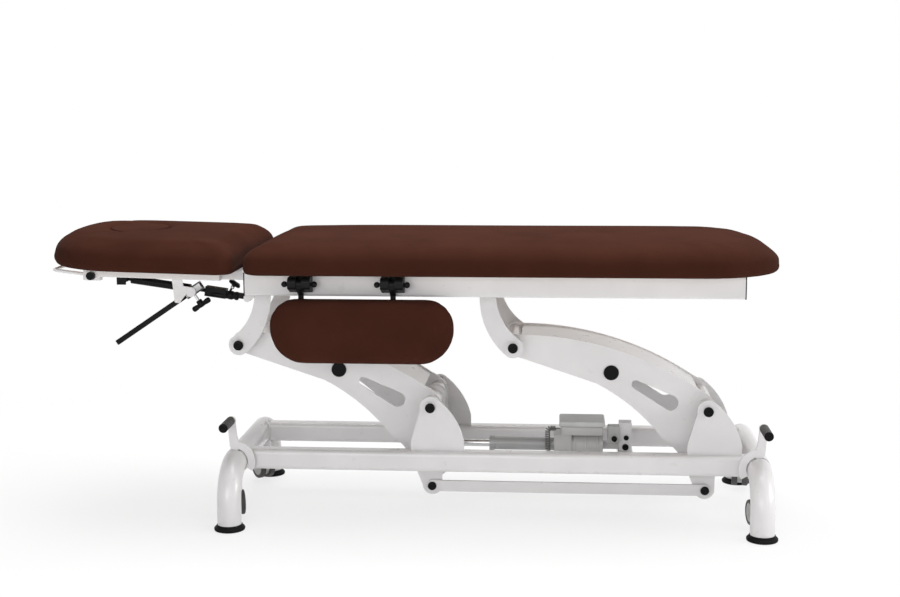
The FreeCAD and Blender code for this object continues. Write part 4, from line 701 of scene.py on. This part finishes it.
def dome_cap(name, centre, axis, radius, height, body):
    """A moulded cap: a skirt, a soft shoulder and a shallow dimple."""
    profile = [
        (radius * 0.96, 0.0),
        (radius, height * 0.12),
        (radius, height * 0.62),
        (radius * 0.95, height * 0.84),
        (radius * 0.82, height * 0.97),
        (radius * 0.60, height),
        (radius * 0.46, height * 0.97),
        (radius * 0.40, height * 0.80),
        (0.0, height * 0.76),
    ]
    lathe(name, profile, centre, axis, BLACK, body)


def caps_at_ends(label, node, body, cap_radius, cap_height, sunk):
    """A black cap on each of the four ends of two crosswise pins or axles."""
    low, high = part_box(node)
    height = (low.z + high.z) / 2
    radius = (high.z - low.z) / 2
    for place, end in ((low.x + radius, "head"), (high.x - radius, "foot")):
        for side, word in ((-1, "near"), (1, "far")):
            face = high.y if side > 0 else low.y
            dome_cap("%s_cap_%s_%s" % (label, end, word), Vector((place, face - side * sunk, height)),
                     (0, side, 0), cap_radius or radius + 0.0004, cap_height, body)


def pivot_caps():
    """Black caps on the tie rods' pins and on the axles."""
    caps_at_ends("tie", "tie_rods", "tie_rods", 0.0118, 0.0062, 0.0042)
    caps_at_ends("base_pivot_axles", "base_pivot_axles", "base", None, 0.0085, 0.0055)
    caps_at_ends("top_pivot_axles", "top_pivot_axles", "top_frame", None, 0.0085, 0.0055)


def pedal_grips():
    """Ribbed sleeves and end caps on the pedals."""
    for prefix, body in (("head", "head_pedal"), ("foot", "foot_pedal")):
        low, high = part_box(prefix + "_pedal")
        radius = 0.011
        height = high.z - radius
        centre_x = low.x + radius if prefix == "head" else high.x - radius
        profile = [(radius * 0.9, 0.0035)]
        ribs = 13
        pitch = 0.0064
        first = 0.004
        for rib in range(ribs):
            start = first + rib * pitch
            profile.append((radius + 0.0002, start))
            profile.append((radius + 0.0011, start + pitch * 0.2))
            profile.append((radius + 0.0011, start + pitch * 0.7))
            profile.append((radius + 0.0002, start + pitch * 0.9))
        profile.append((radius * 0.9, first + ribs * pitch))
        lathe("pedal_sleeve_" + prefix, profile, (centre_x, low.y, height), (0, 1, 0), DARK_GREY, body)
        dome_cap("pedal_cap_" + prefix, Vector((centre_x, low.y + 0.0055, height)), (0, -1, 0),
                 radius + 0.0014, 0.0085, body)


def castor_hubs():
    """Light hub covers let into the outer face of each castor disc."""
    half_width = 0.0194
    profile = [(0.0262, 0.0), (0.0262, 0.0012), (0.0240, 0.0024), (0.0200, 0.0030), (0.0120, 0.0024),
               (0.0100, 0.0040), (0.0060, 0.0046), (0.0, 0.0046)]
    for place in ("head_near", "head_far", "foot_near", "foot_far"):
        centre, axis = joint_line("roll_" + place)
        for side, word in ((-1, "a"), (1, "b")):
            lathe("castor_hub_%s_%s" % (place, word), profile, centre + axis * side * half_width, axis * side,
                  GREY_PLASTIC, "wheels_" + place)


def foot_pads():
    """Low turned rubber feet with a lip round each leg."""
    low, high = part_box("rubber_feet")
    radius = 0.041
    profile = [
        (0.0, 0.0),
        (radius - 0.004, 0.0),
        (radius - 0.0008, 0.0012),
        (radius, 0.0035),
        (radius, 0.0065),
        (radius - 0.0014, 0.0085),
        (radius - 0.0055, 0.0096),
        (radius - 0.0064, 0.0112),
        (radius - 0.0066, 0.0150),
        (radius - 0.0076, 0.0164),
        (radius - 0.0088, 0.0164),
        (radius - 0.0089, 0.0138),
        (0.0, 0.0138),
    ]
    for end, x in (("head", low.x + radius), ("foot", high.x - radius)):
        for side, y in (("near", low.y + radius), ("far", high.y - radius)):
            name = "foot_pad_%s_%s" % (end, side)
            piece = lathe(name, profile, (x, y, 0), (0, 0, 1), RUBBER, "base", turns=64)
            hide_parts("rubber_feet")


def turned_box(name, centre, along, low, high, material, body, bevel):
    """A box with rounded edges whose X runs along a direction in the table's long plane."""
    along = Vector(along).normalized()
    piece = round_box(name, low, high, material, body, bevel)
    turn = Matrix((along, Vector((0, 1, 0)), along.cross(Vector((0, 1, 0))))).transposed().to_4x4()
    piece.data.transform(Matrix.Translation(Vector(centre)) @ turn)
    return piece


def lever_details():
    """The lever's long open sleeve, the plug in its bar and the moulded tee handle on its screw."""
    pivot, up = joint_line("lever_bar_slide")
    half = 0.0118
    wall = 0.0044
    lower_end, upper_end = -0.019, 0.031
    for word, low, high in (
            ("near", (lower_end, -half, -half), (upper_end, -half + wall, half)),
            ("far", (lower_end, half - wall, -half), (upper_end, half, half)),
            ("over", (lower_end, -half, -half), (upper_end, half, -half + wall)),
            ("under", (lower_end, -half, half - wall), (upper_end, half, half))):
        piece = turned_box("lever_sleeve_" + word, pivot, up, low, high, SLEEVE_GREY, "lever_sleeve", 0.0008)
        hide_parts("lever_sleeve")
    bar_low = -0.251
    plug = 0.0068
    turned_box("lever_bar_plug", pivot, up, (bar_low - 0.002, -plug, -plug), (bar_low + 0.001, plug, plug),
               BLACK, "release_bar", 0.001)
    down = joint_line("tee_turn")[1]
    screw = [(0.0, 0.0072), (0.0034, 0.0072)]
    threads = 14
    thread_pitch = 0.0016
    for step in range(threads):
        height = 0.008 + thread_pitch * step
        screw.extend([(0.0040, height), (0.0034, height + 0.0008)])
    screw.extend([(0.0040, 0.0305), (0.0, 0.0305)])
    stem = lathe("tee_screw", screw, pivot, down, STEEL, "tee_knob", turns=24)
    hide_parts("tee_knob")
    hub = [(0.0, 0.0290), (0.0072, 0.0290), (0.0082, 0.0306), (0.0086, 0.0400), (0.0090, 0.0470),
           (0.0070, 0.0496), (0.0, 0.0500)]
    lathe("tee_hub", hub, pivot, down, BLACK, "tee_knob", turns=32)
    grip = [(0.0, -0.0280), (0.0042, -0.0278), (0.0068, -0.0262), (0.0076, -0.0225), (0.0074, -0.0170),
            (0.0062, -0.0090), (0.0058, 0.0), (0.0062, 0.0090), (0.0074, 0.0170), (0.0076, 0.0225),
            (0.0068, 0.0262), (0.0042, 0.0278), (0.0, 0.0280)]
    grip_distance = 0.043
    handle = lathe("tee_grip", grip, pivot + down * grip_distance, up, BLACK, "tee_knob", turns=32)
    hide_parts("tee_knob")


def lobed(name, profile, lobes, depth, origin, axis, material, body):
    """A turned knob with rounded lobes round its rim."""
    stem_radius = 0.006
    piece = lathe(name, profile, origin, axis, material, body, turns=lobes * 12)
    first, second = basis(axis)
    axis = Vector(axis).normalized()
    origin = Vector(origin)
    for point in piece.data.vertices:
        offset = point.co - origin
        along = offset.dot(axis)
        flat = offset - axis * along
        if flat.length > stem_radius:
            angle = math.atan2(flat.dot(second), flat.dot(first))
            point.co = origin + axis * along + flat * (1 - depth * (0.5 - 0.5 * math.cos(lobes * angle)))
    return piece


def spring_details():
    """The star knob over the gas spring's fork, and the narrow plate and the collar on its release case."""
    foot, way = joint_line("spring_knob_turn")
    star = [(0.0, 0.0235), (0.0050, 0.0235), (0.0075, 0.0250), (0.0150, 0.0262), (0.0172, 0.0280),
            (0.0176, 0.0318), (0.0160, 0.0344), (0.0080, 0.0352), (0.0, 0.0354)]
    knob = lobed("star_knob", star, 5, 0.24, foot, way, BLACK, "spring_knob")
    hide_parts("spring_knob")
    stem = [(0.0, -0.001), (0.0030, -0.001), (0.0030, 0.0150), (0.0048, 0.0160), (0.0052, 0.0236),
            (0.0, 0.0236)]
    piece = lathe("star_knob_stem", stem, foot, way, STEEL, "spring_knob", turns=24)
    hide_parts("spring_knob")
    low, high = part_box("gas_rod")
    centre = Vector((RELEASE_PLATE.x, (low.y + high.y) / 2, RELEASE_PLATE.z))
    plate = [(0.0135, -0.0030), (0.0215, -0.0060), (0.0330, -0.0062), (0.0368, -0.0040), (0.0376, 0.0),
             (0.0366, 0.0040), (0.0330, 0.0058), (0.0290, 0.0048), (0.0220, 0.0010), (0.0150, 0.0020),
             (0.0135, 0.0040)]
    piece = lathe("release_plate", plate, centre, (0.14, 0, 1), BLACK, "gas_rod", turns=56)
    plate_narrowing = 0.41
    for vertex in piece.data.vertices:
        vertex.co.y = centre.y + (vertex.co.y - centre.y) * plate_narrowing
    collar_start = Vector((-0.492, centre.y, 0.6140))
    collar = [(0.0105, 0.0), (0.0120, 0.0020), (0.0120, 0.0120), (0.0098, 0.0140), (0.0098, 0.0180),
              (0.0115, 0.0200), (0.0115, 0.0260), (0.0098, 0.0280)]
    lathe("fork_collar", collar, collar_start, (0.990, 0, -0.141), BLACK, "gas_rod", turns=32)


def drive_details():
    """Control case under its lid, bands on the motor, and caps on the mount's pin."""
    motor_low, motor_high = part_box("actuator_motor")
    start, top = motor_low.x, motor_high.z
    case_half, lid_half = 0.046, 0.050
    case = round_box("control_case", (start + 0.020, -case_half, top + 0.0004),
                     (start + 0.134, case_half, top + 0.0250), MOTOR_GREY, "base", 0.004, 4)
    lid = round_box("control_lid", (start + 0.014, -lid_half, top + 0.0252),
                    (start + 0.140, lid_half, top + 0.0410), LIGHT_GREY, "base", 0.0055, 5)
    mount_low, mount_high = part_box("cross_beam")
    mount_x = (mount_low.x + mount_high.x) / 2
    mount_top = mount_high.z
    face = mount_x - 0.0175
    near_side = -0.038
    terminal = round_box("terminal_case", (face - 0.0320, near_side, mount_top - 0.055),
                         (face - 0.0005, -0.008, mount_top - 0.005), GREY_PLASTIC, "base", 0.003, 4)
    for piece in (case, lid, terminal):
        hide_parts("control_box")
    gland = [(0.0, -0.012), (0.0055, -0.012), (0.0070, -0.010), (0.0078, -0.004), (0.0078, 0.0), (0.0, 0.0)]
    gland_place = (face - 0.014, near_side, mount_top - 0.040)
    lathe("terminal_gland", gland, gland_place, (0, 1, 0), BLACK, "base", turns=28)
    axis_height = 0.178
    band = [(0.0331, 0.0), (0.0342, 0.0012), (0.0342, 0.0068), (0.0331, 0.0080)]
    for number, along in enumerate((0.052, 0.084, 0.116)):
        lathe("motor_band_%d" % number, band, (start + along, 0, axis_height), (1, 0, 0), MOTOR_GREY, "base",
              turns=56)
    plate_face = 0.0235
    for side, word in ((-1, "near"), (1, "far")):
        centre = Vector((mount_x, side * plate_face, axis_height))
        bolt = centre + Vector((0.002, -side * 0.0015, 0.026))
        dome_cap("mount_cap_" + word, centre, (0, side, 0), 0.0090, 0.0060, "base")
        dome_cap("mount_bolt_" + word, bolt, (0, side, 0), 0.0070, 0.0050, "base")


def curly_lead():
    """The motor's curly lead: its wire wound round the line of the route, with two short straight ends."""
    lead_y = -0.0275
    route = [(0.4027, 0.229), (0.3850, 0.229), (0.3670, 0.229), (0.3670, 0.211), (0.3670, 0.185),
             (0.3670, 0.160), (0.3847, 0.160)]
    guide = bpy.data.curves.new("lead_route", "CURVE")
    guide.dimensions = "3D"
    guide.resolution_u = 48
    spline = guide.splines.new("NURBS")
    spline.points.add(len(route) - 1)
    for point, (x, z) in zip(spline.points, route):
        point.co = (x, lead_y, z, 1.0)
    spline.order_u = 3
    spline.use_endpoint_u = True
    line = bpy.data.objects.new("lead_route", guide)
    link(line)
    bpy.context.view_layer.update()
    data = bpy.data.meshes.new_from_object(line)
    points = [vertex.co.copy() for vertex in data.vertices]
    bpy.data.objects.remove(line)
    lengths = [0.0]
    for before, after in zip(points, points[1:]):
        lengths.append(lengths[-1] + (after - before).length)
    whole = lengths[-1]

    def place_at(distance):
        """Place and direction of the route at a distance from its start."""
        index = max(1, min(len(points) - 1, sum(1 for value in lengths if value < distance)))
        share = (distance - lengths[index - 1]) / (lengths[index] - lengths[index - 1])
        along = (points[index] - points[index - 1]).normalized()
        return points[index - 1].lerp(points[index], share), along

    wire = 0.0030
    coil = 0.0062
    pitch = 0.0048
    tail = 0.012
    end_share = 0.55
    turns = int((whole - 2 * tail) / pitch)
    per_turn = 14
    aside = Vector((0, 1, 0))
    helix = [points[0]]
    for step in range(turns * per_turn + 1):
        distance = tail + (whole - 2 * tail) * step / (turns * per_turn)
        middle, along = place_at(distance)
        into_coil = min(smooth_share(step / per_turn), smooth_share(turns - step / per_turn))
        reach = coil * (end_share + (1 - end_share) * into_coil)
        up = along.cross(aside)
        angle = 2 * math.pi * step / per_turn
        helix.append(middle + (aside * math.cos(angle) + up * math.sin(angle)) * reach)
    helix.append(points[-1])
    cord = bpy.data.curves.new("motor_lead", "CURVE")
    cord.dimensions = "3D"
    cord.resolution_u = 3
    cord.bevel_depth = wire / 2
    cord.bevel_resolution = 3
    cord.use_fill_caps = True
    spline = cord.splines.new("NURBS")
    spline.points.add(len(helix) - 1)
    for point, place in zip(spline.points, helix):
        point.co = (*place, 1.0)
    spline.order_u = 3
    spline.use_endpoint_u = True
    piece = link(bpy.data.objects.new("motor_lead", cord))
    cord.materials.append(CORD_GREY)
    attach(piece, "base")
    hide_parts("curly_lead")


# Stage, light and camera


def background_rays(tree):
    """1 for rays of the camera and for those that see the background in gloss or through glass."""
    path = tree.nodes.new("ShaderNodeLightPath")
    total = path.outputs["Is Camera Ray"]
    for name in ("Is Glossy Ray", "Is Transmission Ray"):
        add = tree.nodes.new("ShaderNodeMath")
        add.operation = "ADD"
        add.use_clamp = True
        tree.links.new(total, add.inputs[0])
        tree.links.new(path.outputs[name], add.inputs[1])
        total = add.outputs["Value"]
    return total


def floor_material():
    """Pale floor: plain paint near the object that melts into white far off."""
    material, tree, shader, place = new_material("pale_floor")
    shader.inputs["Base Color"].default_value = (0.93, 0.93, 0.93, 1)
    shader.inputs["Roughness"].default_value = 0.85
    shader.inputs["Specular IOR Level"].default_value = 0.1
    white = tree.nodes.new("ShaderNodeEmission")
    white.inputs["Color"].default_value = (1, 1, 1, 1)
    distance = tree.nodes.new("ShaderNodeVectorMath")
    distance.operation = "LENGTH"
    tree.links.new(place.outputs["Object"], distance.inputs[0])
    spread = tree.nodes.new("ShaderNodeMapRange")
    spread.inputs["From Min"].default_value = 0.6
    spread.inputs["From Max"].default_value = 2.2
    spread.inputs["To Min"].default_value = 0.74
    spread.inputs["To Max"].default_value = 1.0
    tree.links.new(distance.outputs["Value"], spread.inputs["Value"])
    mix = tree.nodes.new("ShaderNodeMixShader")
    seen = tree.nodes.new("ShaderNodeMath")
    seen.operation = "MULTIPLY"
    tree.links.new(spread.outputs["Result"], seen.inputs[0])
    tree.links.new(background_rays(tree), seen.inputs[1])
    tree.links.new(seen.outputs["Value"], mix.inputs["Fac"])
    tree.links.new(shader.outputs["BSDF"], mix.inputs[1])
    tree.links.new(white.outputs["Emission"], mix.inputs[2])
    tree.links.new(mix.outputs["Shader"], tree.nodes["Material Output"].inputs["Surface"])
    return material


def stage():
    """The floor, and a world that lights the object softly and is white behind it."""
    bpy.ops.mesh.primitive_plane_add(size=60.0, location=(0.0, 0.0, -0.0006))
    floor = bpy.context.object
    floor.name = "studio_floor"
    floor.data.materials.append(floor_material())
    world = bpy.data.worlds.new("studio_world")
    bpy.context.scene.world = world
    world.use_nodes = True
    tree = world.node_tree
    tree.nodes.clear()
    output = tree.nodes.new("ShaderNodeOutputWorld")
    seen = tree.nodes.new("ShaderNodeBackground")
    seen.inputs["Color"].default_value = (1, 1, 1, 1)
    seen.inputs["Strength"].default_value = 1.0
    light = tree.nodes.new("ShaderNodeBackground")
    light.inputs["Color"].default_value = (1, 1, 1, 1)
    light.inputs["Strength"].default_value = 0.36
    mix = tree.nodes.new("ShaderNodeMixShader")
    tree.links.new(background_rays(tree), mix.inputs["Fac"])
    tree.links.new(light.outputs["Background"], mix.inputs[1])
    tree.links.new(seen.outputs["Background"], mix.inputs[2])
    tree.links.new(mix.outputs["Shader"], output.inputs["Surface"])


def lamp(name, place, target, width, height, power):
    data = bpy.data.lights.new(name, "AREA")
    data.shape = "RECTANGLE"
    data.size = width
    data.size_y = height
    data.energy = power
    thing = link(bpy.data.objects.new(name, data))
    thing.location = place
    thing.rotation_mode = "QUATERNION"
    thing.rotation_quaternion = (Vector(target) - Vector(place)).to_track_quat("-Z", "Y")


def lights():
    lamp("key_softbox", (0.2, 0.3, 3.4), (0.0, 0.0, 0.4), 3.4, 2.2, 125.0)
    lamp("front_softbox", (-0.8, -4.6, 1.4), (0.0, 0.0, 0.35), 2.8, 1.6, 48.0)
    lamp("side_softbox", (4.4, -0.8, 1.5), (0.4, 0.0, 0.5), 1.8, 1.8, 60.0)


def camera():
    """The photograph's camera."""
    data = bpy.data.cameras.new("photo_camera")
    data.sensor_fit = "HORIZONTAL"
    data.sensor_width = 36.0
    data.lens = CAMERA_LENS
    data.clip_start = 0.05
    data.clip_end = 100.0
    forward = Vector((-math.sin(CAMERA_YAW) * math.cos(CAMERA_PITCH),
                      math.cos(CAMERA_YAW) * math.cos(CAMERA_PITCH), -math.sin(CAMERA_PITCH)))
    right = Vector((math.cos(CAMERA_YAW), math.sin(CAMERA_YAW), 0))
    up = right.cross(forward)
    rolled_right = right * math.cos(CAMERA_ROLL) + up * math.sin(CAMERA_ROLL)
    rolled_up = up * math.cos(CAMERA_ROLL) - right * math.sin(CAMERA_ROLL)
    turn = Matrix((rolled_right, rolled_up, -forward)).transposed().to_4x4()
    thing = link(bpy.data.objects.new("photo_camera", data))
    thing.matrix_world = Matrix.Translation(CAMERA_PLACE) @ turn
    bpy.context.scene.camera = thing


bpy.context.scene.view_settings.view_transform = "Standard"
camera()
stage()
lights()
dress_nodes()
bed_pads()
armrest_pad()
pivot_caps()
pedal_grips()
castor_hubs()
foot_pads()
lever_details()
spring_details()
drive_details()
curly_lead()
